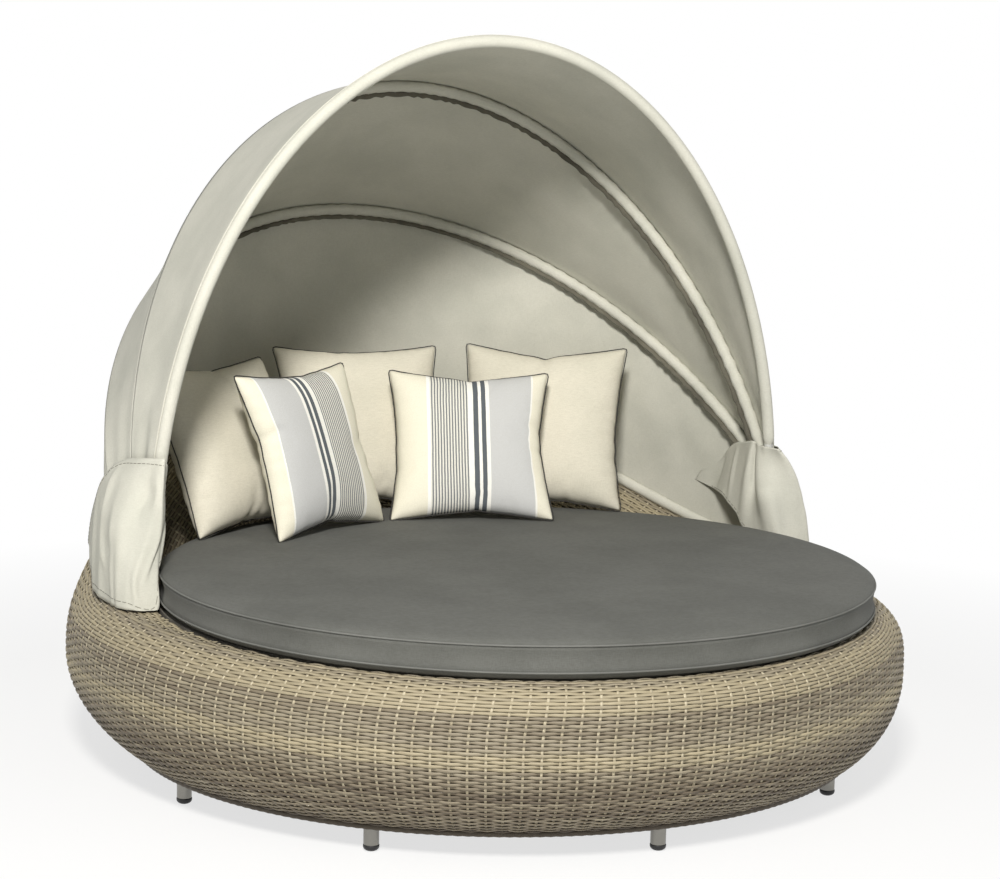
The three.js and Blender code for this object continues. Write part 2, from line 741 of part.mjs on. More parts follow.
function buildPivots() {
  const hole = boltRadius + boltClearance;
  const headFace = frontHoopHalfWidth - hoopRadius - seatGap;
  const nutFace = thirdHoopHalfWidth + hoopRadius + seatGap;
  const shankEnd = nutFace + nutHeight - nutWall;
  for (const [word, side] of [['left', -1], ['right', 1]]) {
    const outline = new THREE.Shape();
    const low = deckHeight + seatGap + footPlateThickness / 2;
    outline.moveTo(-plateHalfWidth, low);
    outline.lineTo(-plateHalfWidth, pivotHeight);
    outline.absarc(0, pivotHeight, plateHalfWidth, Math.PI, 0, true);
    outline.lineTo(plateHalfWidth, low);
    const plate = new THREE.ExtrudeGeometry(outline, {
      depth: plateThickness,
      bevelEnabled: false,
      curveSegments: smallSides,
    });
    plate.rotateX(Math.PI / 2).rotateZ(Math.PI / 2);
    plate.translate(side * plateX - plateThickness / 2, pivotY, 0);
    const inner = side * (mattressInnerX() + footPlateMargin / 2);
    const outer = side * (plateX + footPlateReach);
    const base = deckHeight + seatGap;
    const foot = boxAt(
      Math.min(inner, outer), Math.max(inner, outer),
      pivotY - footPlateHalfDepth, pivotY + footPlateHalfDepth,
      base, base + footPlateThickness,
    );
    const tools = [
      pinAlongX(side * plateX - cutOverrun / 2, side * plateX + cutOverrun / 2, hole),
      ...ledgeHoles(side, screwRadius + boltClearance),
    ];
    addPiece(`canopy_bracket_${word}`, geometryOf(cut(joined([plate, foot]), tools)), 'steel');

    const bolt = turned([
      [0, -boltHeadHeight], [boltHeadRadius / 2, -boltHeadHeight], [boltHeadRadius, -boltHeadHeight / 2],
      [boltHeadRadius, 0], [boltRadius, 0], [boltRadius, shankEnd - headFace], [0, shankEnd - headFace],
    ], legSides);
    const nut = turned([
      [0, nutHeight], [nutRadius / 2, nutHeight - nutWall / 3], [nutRadius, nutHeight / 2], [nutRadius, 0],
      [hole, 0], [hole, nutHeight - nutWall + seatGap], [0, nutHeight - nutWall + seatGap],
    ], legSides);
    const turn = (side * Math.PI) / 2;
    bolt.rotateY(turn).translate(side * headFace, pivotY, pivotHeight);
    nut.rotateY(turn).translate(side * nutFace, pivotY, pivotHeight);
    addPiece(`pivot_bolt_${word}`, bolt, 'steel');
    addPiece(`pivot_nut_${word}`, nut, 'steel');

    const faces = [
      frontHoopHalfWidth + hoopRadius,
      secondHoopHalfWidth + hoopRadius,
      plateX + plateThickness / 2,
    ];
    faces.forEach((face, i) => {
      const near = side * (face + seatGap);
      const far = side * (face + washerSpace - seatGap);
      const washer = ringOnPivot(Math.min(near, far), Math.max(near, far), hole, washerRadius);
      addPiece(`pivot_washer_${word}_${i + 1}`, washer, 'glide');
    });

    screwPlaces(side).forEach(([x, y], i) => {
      const top = deckHeight + seatGap + footPlateThickness + seatGap;
      const low = deckHeight - skinThickness - padThickness * 2;
      const screw = turned([
        [0, top + screwHeadHeight], [screwHeadRadius / 2, top + screwHeadHeight], [screwHeadRadius, top],
        [screwRadius, top], [screwRadius, low], [0, low],
      ], smallSides).translate(x, y, 0);
      addPiece(`bracket_screw_${word}_${i + 1}`, screw, 'steel');
    });
  }
}

// Where the round mattress passes the middle of the bracket foot
function mattressInnerX() {
  const offset = pivotY + mattressSetForward - footPlateHalfDepth;
  return Math.sqrt(mattressRadius ** 2 - offset ** 2);
}

// Rear rail on the rim, held by studs that pass through it and the weave into the frame
function railPoint(angle) {
  const crestAt = (a) => onRing(crestRing, a, rimHeight(a));
  const along = crestAt(angle + mergeStep).sub(crestAt(angle - mergeStep)).normalize();
  return onRing(crestRing, angle, rimHeight(angle) + railLift / Math.hypot(along.x, along.y));
}

function buildRail() {
  const halfTurn = Math.PI - railStartAngle + mergeStep;
  const path = roundAngles.filter((a) => Math.abs(a - Math.PI) <= halfTurn).map(railPoint);
  const rail = cut(solidOf(tube(path, railRadius, false)), studHoles(studRadius + boltClearance));
  addPiece('rear_rail', geometryOf(rail), 'hoop');
  studAngles.forEach((angle, i) => {
    const p = railPoint(angle);
    const top = p.z + railRadius + studRise;
    const low = p.z - railLift - skinThickness - rimRadius;
    const stud = turned([
      [0, top + studHeadHeight], [studHeadRadius / 2, top + studHeadHeight], [studHeadRadius, top],
      [studRadius, top], [studRadius, low], [0, low],
    ], smallSides).translate(p.x, p.y, 0);
    addPiece(`rail_stud_${i + 1}`, stud, 'steel');
  });
}

// Canvas panels between the hoops, and the last one from the third hoop down to the rear rail
function foldAt(turn, share, rise) {
  const radius = rise * Math.sin(turn);
  const fade = Math.exp(-(radius - clothLowRadius) / clothFoldLength);
  const sag = clothSag * Math.sin(Math.PI * share) * Math.sin(turn);
  return sag + clothFold * fade * Math.sin(Math.PI * 2 * clothFoldCount * share);
}

// How far an edge steps off a tube so that its square distance to the tube's middle is the clearance
function stepOff(edge, turn, across, clear) {
  const along = edge(turn + mergeStep).sub(edge(turn - mergeStep)).normalize();
  return clear / Math.sqrt(1 - along.dot(across) ** 2);
}

function panel(nearEdge, farEdge, nearClear, farClear, rise) {
  const grid = [];
  for (let i = 1; i < hoopSteps; i += 1) {
    const turn = (i / hoopSteps) * Math.PI;
    const near = nearEdge(turn);
    const far = farEdge(turn);
    const across = far.clone().sub(near).normalize();
    near.addScaledVector(across, stepOff(nearEdge, turn, across, nearClear));
    far.addScaledVector(across, -stepOff(farEdge, turn, across, farClear));
    const row = [];
    for (let k = 0; k <= panelSteps; k += 1) {
      const p = near.clone().lerp(far, k / panelSteps);
      const inward = new THREE.Vector3(0, pivotY - p.y, pivotHeight - p.z).normalize();
      row.push(p.addScaledVector(inward, foldAt(turn, k / panelSteps, rise)));
    }
    grid.push(row);
  }
  return sheet(grid, clothThickness);
}

function buildCanvas() {
  const clear = hoopRadius + clothGap;
  const onHoop = (name) => (turn) => hoopPoint(...hoops[name], turn);
  const onRail = (turn) => railPoint(Math.PI / 2 + turn);
  const [front, second, third] = ['front_hoop', 'second_hoop', 'third_hoop'].map(onHoop);
  const railClear = railRadius + clothGap + studHeadHeight + studRise;
  addPiece('canopy_panel_front', panel(front, second, clear, clear, frontHoopRise), 'canvas');
  addPiece('canopy_panel_middle', panel(second, third, clear, clear, secondHoopRise), 'canvas');
  addPiece('canopy_panel_rear', panel(third, onRail, clear, railClear, thirdHoopRise), 'canvas');
}

// Canvas skirts: each hangs from the canopy over the pivot, flares and lies on the shoulder of the weave
// The inner face stands between the hoops and the mattress, and the last column turns the front corner
function skirtInnerColumns() {
  const x = frontHoopHalfWidth - hoopRadius - skirtInnerGap;
  const heights = skirtInnerShares.map(([back, top, hem]) => [
    back * mattressRadius,
    deckHeight + top * (pivotRise + skirtTopRise),
    deckHeight + hem * mattressThickness,
  ]);
  const columns = heights.map(([y, top, hem]) => [
    new THREE.Vector3(x - skirtInnerLean, y, top),
    new THREE.Vector3(x, y, (top + hem) / 2),
    new THREE.Vector3(x, y, hem),
  ]);
  const [, top, hem] = heights[heights.length - 1];
  const [topY, lowX] = [skirtFrontY + skirtInset, skirtHemX()];
  columns.push([
    new THREE.Vector3(x, topY, top),
    new THREE.Vector3((x + lowX) / 2, skirtFrontY, (top + hem) / 2),
    new THREE.Vector3(lowX - skirtThickness, skirtFrontY, hem),
  ]);
  return columns.map((points) => bezier(points, skirtSteps, false));
}

// Where the front of the hem clears the round mattress
function skirtHemX() {
  return Math.sqrt(mattressRadius ** 2 - (mattressSetForward + skirtFrontY) ** 2) + skirtStandOff;
}

function skirtColumn(column) {
  const turned = Math.max(column - skirtFrontColumns, 0) / skirtSideColumns;
  const frontShare = Math.min(column / skirtFrontColumns, 1);
  const startAngle = Math.PI / 2 - Math.asin((crestRing.centreY - skirtFrontY) / crestRing.halfDepth);
  const angle = between(startAngle, skirtRearAngle, turned);
  const out = outwardOn(crestRing, angle);
  const body = bodyOffset(angle, -skirtStandOff);
  const rim = onRing(crestRing, angle, rimHeight(angle));
  const shoulder = body[wallSteps + arcSteps + 1];
  const innerX = frontHoopHalfWidth - hoopRadius;
  const outerTop = rim.clone().addScaledVector(out, skirtTopOffset);
  const topX = outerTop.x - skirtTopDraw * (1 - turned) ** 3;
  const top = new THREE.Vector3(between(innerX, topX, frontShare), outerTop.y, 0);
  top.z = between(pivotHeight + skirtTopRise, rim.z + skirtRearRise, turned);
  const level = deckHeight + clothGap * 2;
  const hem = new THREE.Vector3(between(skirtHemX(), shoulder.x, frontShare), shoulder.y, level);
  const overEdge = (hem.x - rim.x) / (shoulder.x - rim.x);
  if (turned > 0 || overEdge > 0) {
    const drop = turned > 0 ? 1 : Math.min(overEdge, 1);
    hem.z = between(level, shoulder.z, drop ** 2);
  }
  top.y = between(skirtFrontY + skirtInset, top.y, eased(turned * 2));
  hem.y = turned > 0 ? hem.y : skirtFrontY;
  const control = top.clone().lerp(hem, 1 / 2);
  const bulge = skirtBulge * frontShare * (1 - turned / 2);
  const push = turned > 0 ? out : new THREE.Vector3(frontShare, frontShare - 1, 0).normalize();
  control.addScaledVector(push, bulge);
  const place = column / (skirtFrontColumns + skirtSideColumns);
  const wave = Math.sin(Math.PI * 2 * skirtFoldCount * place);
  return bezier([top, control, hem], skirtSteps, false).map((p, k) => {
    const swell = Math.sin((Math.PI * k) / skirtSteps) * skirtFold * wave;
    p.addScaledVector(push, Math.max(swell, 0));
    return p;
  });
}

function buildSkirts() {
  for (const [word, side] of [['left', -1], ['right', 1]]) {
    const columns = skirtInnerColumns();
    for (let i = 0; i <= skirtFrontColumns + skirtSideColumns; i += 1) columns.push(skirtColumn(i));
    const grid = columns.map((column) => column.map((p) => new THREE.Vector3(side * p.x, p.y, p.z)));
    addPiece(`canopy_skirt_${word}`, sheet(grid, skirtThickness), 'canvas');
  }
}

// Round boxed mattress with rounded edges and a slight waist
function buildMattress() {
  const low = deckHeight + seatGap;
  const high = low + mattressThickness;
  const corner = mattressEdgeRadius * (1 - Math.SQRT1_2);
  const flat = mattressRadius - mattressEdgeRadius;
  const profile = [
    [0, low], [flat, low],
    [mattressRadius - corner, low + corner], [mattressRadius, low + mattressEdgeRadius],
    [mattressRadius - mattressWaist, (low + high) / 2],
    [mattressRadius, high - mattressEdgeRadius], [mattressRadius - corner, high - corner],
    [flat, high],
    [0, high],
  ];
  addPiece('mattress', turned(profile, roundSteps).translate(0, -mattressSetForward, 0), 'mattress');
}

// A square cushion with a crown, corners that reach out and sides that draw in between them
function cushion(size, thickness) {
  const steps = cushionSteps;
  const half = size / 2;
  const place = (i, k, face) => {
    const u = (i / steps) * 2 - 1;
    const v = (k / steps) * 2 - 1;
    const drawn = 1 - cushionDrawShare;
    const x = half * u * between(drawn, 1, v ** 2);
    const z = half * v * between(drawn, 1, u ** 2);
    const swell = Math.sqrt(Math.max((1 - u ** 4) * (1 - v ** 4), 0));
    const depth = between(cushionEdge, thickness, swell) / 2;
    return new THREE.Vector3(x, face * depth, z);
  };
  const points = [];
  for (const face of [-1, 1]) {
    for (let i = 0; i <= steps; i += 1) {
      for (let k = 0; k <= steps; k += 1) points.push(place(i, k, face));
    }
  }
  const row = steps + 1;
  const layer = row * row;
  const faces = [];
  for (let i = 0; i < steps; i += 1) {
    for (let k = 0; k < steps; k += 1) {
      const a = i * row + k;
      const [b, c, d] = [a + row, a + row + 1, a + 1];
      faces.push([a, b, c], [a, c, d]);
      faces.push([layer + a, layer + c, layer + b], [layer + a, layer + d, layer + c]);
    }
  }
  const rim = [];
  for (let i = 0; i < steps; i += 1) rim.push(i * row);
  for (let k = 0; k < steps; k += 1) rim.push(steps * row + k);
  for (let i = steps; i > 0; i -= 1) rim.push(i * row + steps);
  for (let k = steps; k > 0; k -= 1) rim.push(k);
  rim.forEach((a, i) => {
    const b = rim[(i + 1) % rim.length];
    faces.push([a, layer + b, b], [a, layer + a, layer + b]);
  });
  return meshOf(points, faces);
}

function buildCushions() {
  const seat = deckHeight + seatGap + mattressThickness + seatGap;
  for (const [name, [across, back]] of Object.entries(cushionPlaceShares)) {
    const striped = name.startsWith('striped');
    const size = striped ? stripedCushionSize : bigCushionSize;
    const thickness = striped ? stripedCushionThickness : bigCushionThickness;
    const [turn, lean] = cushionAngles[name].map(THREE.MathUtils.degToRad);
    const [x, y] = [across * mattressRadius, back * mattressRadius];
    const body = cushion(size, thickness);
    body.rotateX(-lean).rotateZ(turn);
    body.computeBoundingBox();
    const lift = seat - body.boundingBox.min.z;
    const tilt = (size / 2) * Math.sin(lean);
    body.translate(x - tilt * Math.sin(turn), y + tilt * Math.cos(turn), lift);
    addPiece(name, body, striped ? 'striped' : 'cushion');
  }
}

buildBody();
buildFrames();
buildDeck();
buildLegs();
buildHoops();
buildPivots();
buildRail();
buildCanvas();
buildSkirts();
buildMattress();
buildCushions();

export default daybed;
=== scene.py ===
"""Round outdoor daybed with a folding canopy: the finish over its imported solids, laid out as an add-on."""

import math
import random
from functools import partial

import bpy
import numpy as np
from mathutils import Matrix, Vector
from mathutils.kdtree import KDTree


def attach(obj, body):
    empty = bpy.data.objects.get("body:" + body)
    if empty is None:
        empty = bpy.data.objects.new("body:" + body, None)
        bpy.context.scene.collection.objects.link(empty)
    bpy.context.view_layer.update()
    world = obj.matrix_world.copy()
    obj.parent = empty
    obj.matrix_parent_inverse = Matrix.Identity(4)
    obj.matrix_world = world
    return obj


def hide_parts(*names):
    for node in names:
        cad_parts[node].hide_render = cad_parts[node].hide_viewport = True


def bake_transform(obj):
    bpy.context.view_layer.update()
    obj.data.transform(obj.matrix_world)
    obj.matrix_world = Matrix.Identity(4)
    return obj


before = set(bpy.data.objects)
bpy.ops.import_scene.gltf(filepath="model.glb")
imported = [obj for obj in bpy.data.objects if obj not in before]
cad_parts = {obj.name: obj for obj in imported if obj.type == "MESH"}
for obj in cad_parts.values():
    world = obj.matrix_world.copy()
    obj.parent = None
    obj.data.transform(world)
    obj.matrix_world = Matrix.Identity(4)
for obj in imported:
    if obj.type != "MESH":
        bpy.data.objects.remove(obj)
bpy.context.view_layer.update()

bl_info = {
    "name": "Round Daybed Finish",
    "version": (1, 0, 0),
    "blender": (4, 5, 0),
    "location": "View3D > Sidebar > Daybed",
    "description": "Builds the visible finish of a round outdoor daybed over its packed solids",
    "category": "Object",
}

MM = 0.001

# Sizes of the solids, in millimetres, as the part's source has them
PIVOT_Y, PIVOT_Z = 26.0, 573.0
HOOPS = {
    "front": (862.0, 1222.0, math.radians(93)),
    "second": (889.0, 1240.0, math.radians(64)),
    "third": (925.0, 1266.0, math.radians(37)),
}
HOOP_RADIUS = 12.0
DECK = 423.0
MATTRESS = (880.0, -200.0, 423.3, 523.3)
BELLY = (1047.0, 1118.0, 0.0, 268.0)
CREST = (955.0, 1079.5, 4.5)
FOOT = (880.0, 895.0, -155.0)
EDGE = (920.0, 913.5, -76.5, 69.0)
UNDER_TURN = math.radians(55)
LEG_RING = (880.0, 873.5, -76.5)
LEG_ANGLES = (0, 42.5, 80, 125, 180, 235, 280, 317.5)
RIM = 24.0
RIM_REAR = 837.0
RISE_START = 97.5 / 180
RAIL_START, RAIL_LIFT = math.radians(97.5), 10.3
SEAT = 523.6
# Places along the pivots' line where the skirts keep clear of the dome nuts
NUT_DOME = (928, 933)
# Turns of the rim's section at the front and at the back, in half turns: where the wall meets it and where
# the shoulder leaves it
WALL_END, SHOULDER_START = (0.5, 0.2), (0.64, 0.93)
# How far the section's curves run along their ends' directions, as shares of their spans
WALL_PULL, SHOULDER_PULL, BELLY_PULL = 0.5, 0.45, 0.5

# Stakes round the body, as counted on the photograph, and the canvas, drawn thicker than the real one
STAKES = 168
CANVAS_THICKNESS = 1.8

# Cushions: width, thickness, middle of the lower edge, turn and lean in degrees
CUSHIONS = {
    "back_cushion_right": (480, 150, 395, 500, -32, 22),
    "back_cushion_middle": (480, 150, -54, 642, -8, 24),
    "back_cushion_left": (480, 150, -450, 430, 30, 26),
    "striped_cushion_centre": (450, 125, 128, 350, -20, 30),
    "striped_cushion_left": (450, 125, -290, 312, 30, 20),
}


# Shape of the woven body

def eased(share):
    s = np.clip(share, 0.0, 1.0)
    return s * s * (3 - 2 * s)


def between(low, high, share):
    return low + (high - low) * share


def ring_point(ring, angle, height):
    return np.array([ring[0] * math.sin(angle), ring[2] - ring[1] * math.cos(angle), height])


def rise_share(angle):
    turn = abs(math.atan2(math.sin(angle), math.cos(angle))) / math.pi
    return eased((turn - RISE_START) / (1 - RISE_START))


def rim_height(angle):
    return DECK + (RIM_REAR - DECK) * rise_share(angle)


def outward(angle):
    out = np.array([math.sin(angle) / CREST[0], -math.cos(angle) / CREST[1], 0.0])
    return out / np.linalg.norm(out)


def square_on(ring, angle, height):
    crest, out = ring_point(CREST, angle, height), outward(angle)
    px, py = crest[0] / ring[0], (crest[1] - ring[2]) / ring[1]
    dx, dy = out[0] / ring[0], out[1] / ring[1]
    a, b = dx * dx + dy * dy, px * dx + py * dy
    reach = (b - math.sqrt(b * b - a * (px * px + py * py - 1))) / a
    return crest - out * reach


def bezier(points, count):
    """A curve of any degree from its control points."""
    t = np.linspace(0, 1, count + 1)[:, None]
    while len(points) > 1:
        points = [a * (1 - t) + b * t for a, b in zip(points, points[1:])]
    return points[0]


def body_lines(angle, steps=16):
    """The inner face from the foot to the rim's top, and the outer face from there to the bottom edge."""
    risen = math.sqrt(rise_share(angle))
    out, up = outward(angle), np.array([0.0, 0.0, 1.0])
    centre = ring_point(CREST, angle, rim_height(angle) - RIM)
    start_turn, end_turn = (math.pi * between(*turns, risen) for turns in (WALL_END, SHOULDER_START))

    def on_rim(turn):
        return centre + RIM * (-math.cos(turn) * out + math.sin(turn) * up)

    def along(turn):
        return math.sin(turn) * out + math.cos(turn) * up

    foot, start = square_on(FOOT, angle, DECK), on_rim(start_turn)
    pull = abs(float(np.dot(start - foot, along(start_turn)))) * WALL_PULL
    wall = bezier([foot, start - along(start_turn) * pull, start], steps)
    top = [on_rim(between(start_turn, math.pi / 2, i / 4)) for i in range(1, 5)]
    over = [on_rim(between(math.pi / 2, end_turn, i / 6)) for i in range(7)]
    end, belly = on_rim(end_turn), ring_point(BELLY, angle, BELLY[3])
    reach = float(np.linalg.norm(end - belly))
    shoulder = bezier([end, end + along(end_turn) * reach * SHOULDER_PULL * (1 - risen / 2),
                       belly + up * reach * BELLY_PULL, belly], steps)[1:]
    edge = ring_point(EDGE, angle, EDGE[3])
    under = []
    for i in range(1, steps + 1):
        turn = i / steps * UNDER_TURN
        inwards = (1 - math.cos(turn)) / (1 - math.cos(UNDER_TURN))
        down = math.sin(turn) / math.sin(UNDER_TURN)
        under.append([between(belly[0], edge[0], inwards), between(belly[1], edge[1], inwards),
                      between(belly[2], edge[2], down)])
    return np.vstack([wall, top]), np.vstack([over, shoulder, under])


def lengths(line):
    return np.concatenate([[0], np.cumsum(np.linalg.norm(np.diff(line, axis=0), axis=1))])


def along_line(line, measure, at):
    return np.stack([np.interp(at, measure, line[:, i]) for i in range(3)], axis=-1)


def rail_point(angle, lift=0.0):
    step = 1e-4
    before = ring_point(CREST, angle - step, rim_height(angle - step))
    after = ring_point(CREST, angle + step, rim_height(angle + step))
    run = (after - before) / np.linalg.norm(after - before)
    return ring_point(CREST, angle, rim_height(angle) + (RAIL_LIFT + lift) / math.hypot(run[0], run[1]))


def hoop_point(name, turn, swell=0.0):
    """A point of a hoop's middle line, or swell millimetres outside it in the hoop's own plane."""
    a, h, plane = HOOPS[name]
    x, rho = a * math.cos(turn), h * math.sin(turn)
    nx, nr = x / (a * a), rho / (h * h)
    size = math.hypot(nx, nr)
    x, rho = x + swell * nx / size, rho + swell * nr / size
    return np.array([x, PIVOT_Y + rho * math.cos(plane), PIVOT_Z + rho * math.sin(plane)])


# Meshes and node trees

def mesh_piece(name, points, faces, edges=(), attributes=None):
    """A finished piece at the origin, its points given in millimetres."""
    mesh = bpy.data.meshes.new(name)
    mesh.from_pydata((np.asarray(points, float) * MM).tolist(), list(edges), [tuple(face) for face in faces])
    mesh.validate()
    mesh.shade_smooth()
    set_attributes(mesh, attributes or {})
    piece = bpy.data.objects.new(name, mesh)
    bpy.context.scene.collection.objects.link(piece)
    return piece


def set_attributes(mesh, named):
    """Gives each point a number or a vector under each name."""
    for key, values in named.items():
        values = np.asarray(values, np.float32)
        kind, field = ("FLOAT_VECTOR", "vector") if values.ndim == 2 else ("FLOAT", "value")
        mesh.attributes.new(key, kind, "POINT").data.foreach_set(field, values.ravel())


def read_points(mesh):
    co = np.empty(len(mesh.vertices) * 3)
    mesh.vertices.foreach_get("co", co)
    return co.reshape(-1, 3)


def unit(vectors):
    """Vectors of length one, along the last axis."""
    return vectors / np.maximum(np.linalg.norm(vectors, axis=-1)[..., None], 1e-9)


def facing_of(grid, sample, want, closed=False):
    """Outward side at each point of a grid, turned so that it agrees with want at the sample point."""
    side = np.roll(grid, -1, 0) - np.roll(grid, 1, 0) if closed else np.gradient(grid, axis=0)
    facing = unit(np.cross(side, np.gradient(grid, axis=1)))
    return -facing if np.dot(facing[sample], want) < 0 else facing


def grid_faces(rows, columns, closed_rows=False, closed_columns=False):
    faces = []
    for i in range(rows if closed_rows else rows - 1):
        for j in range(columns if closed_columns else columns - 1):
            here, after = i * columns, (i + 1) % rows * columns
            k = (j + 1) % columns
            faces.append((here + j, here + k, after + k, after + j))
    return faces


def face_outwards(piece):
    """Turns a closed mesh whose faces point inwards."""
    mesh = piece.data
    mesh.calc_loop_triangles()
    co = read_points(mesh)
    tri = np.empty(len(mesh.loop_triangles) * 3, int)
    mesh.loop_triangles.foreach_get("vertices", tri)
    a, b, c = (co[tri.reshape(-1, 3)[:, i]] for i in range(3))
    if np.sum(a * np.cross(b, c)) < 0:
        mesh.flip_normals()
    return piece


def circle(radius, sides):
    turns = np.linspace(0, 2 * math.pi, sides, endpoint=False)
    return np.stack([radius * np.cos(turns), radius * np.sin(turns)], 1)


def swept(name, path, outline, closed=False, up=(0, 0, 1), radius=lambda i: 1.0):
    """A bar of any outline along a path; radius(i) scales the outline at each point."""
    path, outline, count = np.asarray(path, float), np.asarray(outline, float), len(outline)
    run = unit(np.roll(path, -1, 0) - np.roll(path, 1, 0) if closed else np.gradient(path, axis=0))
    first = np.array([up] * len(path), float)
    first = unit(first - run * np.sum(first * run, axis=1)[:, None])
    second = np.cross(run, first)
    scale = np.array([radius(i) for i in range(len(path))])[:, None, None]
    points = (path[:, None] + first[:, None] * outline[None, :, 0:1] * scale
              + second[:, None] * outline[None, :, 1:2] * scale).reshape(-1, 3)
    faces = grid_faces(len(path), count, closed_rows=closed, closed_columns=True)
    if not closed:
        faces += [tuple(range(count))[::-1], tuple((len(path) - 1) * count + i for i in range(count))]
    return face_outwards(mesh_piece(name, points, faces))


def turned_faces(profile, starts, sides):
    """Faces between the rings of a turned shape; a radius of 0 is one point on the axis."""
    faces = []
    for (near, _), (far, _), a, b in zip(profile, profile[1:], starts, starts[1:]):
        for j in range(sides):
            k = (j + 1) % sides
            if near <= 0:
                faces.append((a, b + k, b + j))
            elif far <= 0:
                faces.append((a + j, a + k, b))
            else:
                faces.append((a + j, a + k, b + k, b + j))
    return faces


def turned(name, profile, sides, x, y):
    """A turned piece on an upright axis; the profile runs from one end of the axis to the other."""
    points, starts = [], []
    for radius, z in profile:
        starts.append(len(points))
        ring = circle(radius, sides) if radius > 0 else [(0, 0)]
        points += [(x + across, y + along, z) for across, along in ring]
    return face_outwards(mesh_piece(name, points, turned_faces(profile, starts, sides)))


def finished(piece, modifiers):
    """Applies modifiers in order and leaves a plain mesh."""
    for kind, settings in modifiers:
        modifier = piece.modifiers.new(kind.lower(), kind)
        for key, value in settings.items():
            setattr(modifier, key, value)
    depsgraph = bpy.context.evaluated_depsgraph_get()
    baked = bpy.data.meshes.new_from_object(piece.evaluated_get(depsgraph), preserve_all_data_layers=True,
                                            depsgraph=depsgraph)
    old = piece.data
    piece.modifiers.clear()
    piece.data = baked
    bpy.data.meshes.remove(old)
    return piece


def dress(piece, material):
    piece.data.materials.clear()
    piece.data.materials.append(material)
    return piece


def carried(piece, body, solid=None):
    """Hangs a piece on the empty of the body that it moves with, and hides the solid that it stands for."""
    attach(piece, body)
    if solid:
        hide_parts(solid)


def cloth_sheet(name, grid, thickness, material):
    """One sheet of cloth through a grid of points, with an even thickness."""
    rows, columns = grid.shape[:2]
    piece = mesh_piece(name, grid.reshape(-1, 3), grid_faces(rows, columns))
    u, v = np.repeat(np.linspace(0, 1, rows), columns), np.tile(np.linspace(0, 1, columns), rows)
    loops = np.empty(len(piece.data.loops), int)
    piece.data.loops.foreach_get("vertex_index", loops)
    piece.data.uv_layers.new(name="cloth").data.foreach_set("uv", np.stack([u[loops], v[loops]], 1).ravel())
    finished(piece, [("SOLIDIFY", {"thickness": thickness * MM, "offset": 0.0})])
    return dress(face_outwards(piece), material)


def sheet_area(grid):
    a, b, c, d = grid[:-1, :-1], grid[1:, :-1], grid[1:, 1:], grid[:-1, 1:]
    halves = (np.linalg.norm(np.cross(q - p, r - p), axis=-1) / 2 for p, q, r in ((a, b, c), (a, c, d)))
    return float(sum(halves).sum()) * MM * MM


def declare_sheet(grid):
    """Works out a sheet's flat size, measured along the longest thread each way, and its area, and keeps none
    of them.
    """
    width, length = (float(np.linalg.norm(np.diff(grid, axis=axis), axis=-1).sum(axis=axis).max()) * MM
                     for axis in (0, 1))
    min(sheet_area(grid), width * length)


def node(tree, kind, links=None, stops=(), **settings):
    """Adds one node with its settings, its inputs as values or links and a ramp's stops; gives its outputs."""
    made = tree.nodes.new(kind if kind.startswith(("Geometry", "NodeGroup")) else "ShaderNode" + kind)
    for key, value in settings.items():
        setattr(made, key, value)
    for key, value in (links or {}).items():
        if isinstance(value, bpy.types.NodeSocket):
            tree.links.new(value, made.inputs[key])
        else:
            made.inputs[key].default_value = value
    for i, (place, code) in enumerate(stops):
        elements = made.color_ramp.elements
        if i == 0:
            elements.remove(elements[0])
        stop = elements.new(place) if i else elements[0]
        stop.position, stop.color = place, linear(code)
    return made.outputs


def new_tree(name, sockets):
    """A geometry node tree with a geometry in and out and named inputs, and the function that adds to it."""
    tree = bpy.data.node_groups.new(name, "GeometryNodeTree")
    for way in ("INPUT", "OUTPUT"):
        tree.interface.new_socket("Geometry", in_out=way, socket_type="NodeSocketGeometry")
    for label, kind, default in sockets:
        socket = tree.interface.new_socket(label, in_out="INPUT", socket_type=kind)
        if default is not None:
            socket.default_value = default
    return tree, partial(node, tree)


def close_tree(add, geometry, material):
    """Ends a tree in Realize Instances and Set Material."""
    real = add("GeometryNodeRealizeInstances", {"Geometry": geometry})[0]
    add("NodeGroupOutput", {0: add("GeometryNodeSetMaterial", {"Geometry": real, "Material": material})[0]})


def strand_tree():
    """Flat strands: each ribbon waves in and out of the stakes and gets its thickness."""
    tree, add = new_tree("flat_strands", [
        ("Weave Depth", "NodeSocketFloat", 0.0022), ("Strand Thickness", "NodeSocketFloat", 0.0016),
        ("Strand Material", "NodeSocketMaterial", None)])
    inputs = add("NodeGroupInput")
    normal = add("GeometryNodeInputNamedAttribute", {"Name": "facing"}, data_type="FLOAT_VECTOR")[0]
    wave = add("GeometryNodeInputNamedAttribute", {"Name": "wave"}, data_type="FLOAT")[0]
    depth = add("Math", {0: wave, 1: inputs["Weave Depth"]}, operation="MULTIPLY")[0]
    offset = add("VectorMath", {0: normal, "Scale": depth}, operation="SCALE")[0]
    moved = add("GeometryNodeSetPosition", {"Geometry": inputs[0], "Offset": offset})[0]
    grown = add("GeometryNodeExtrudeMesh", {"Mesh": moved, "Offset": normal, "Individual": False,
                                            "Offset Scale": inputs["Strand Thickness"]}, mode="FACES")[0]
    close_tree(add, grown, inputs["Strand Material"])
    return tree


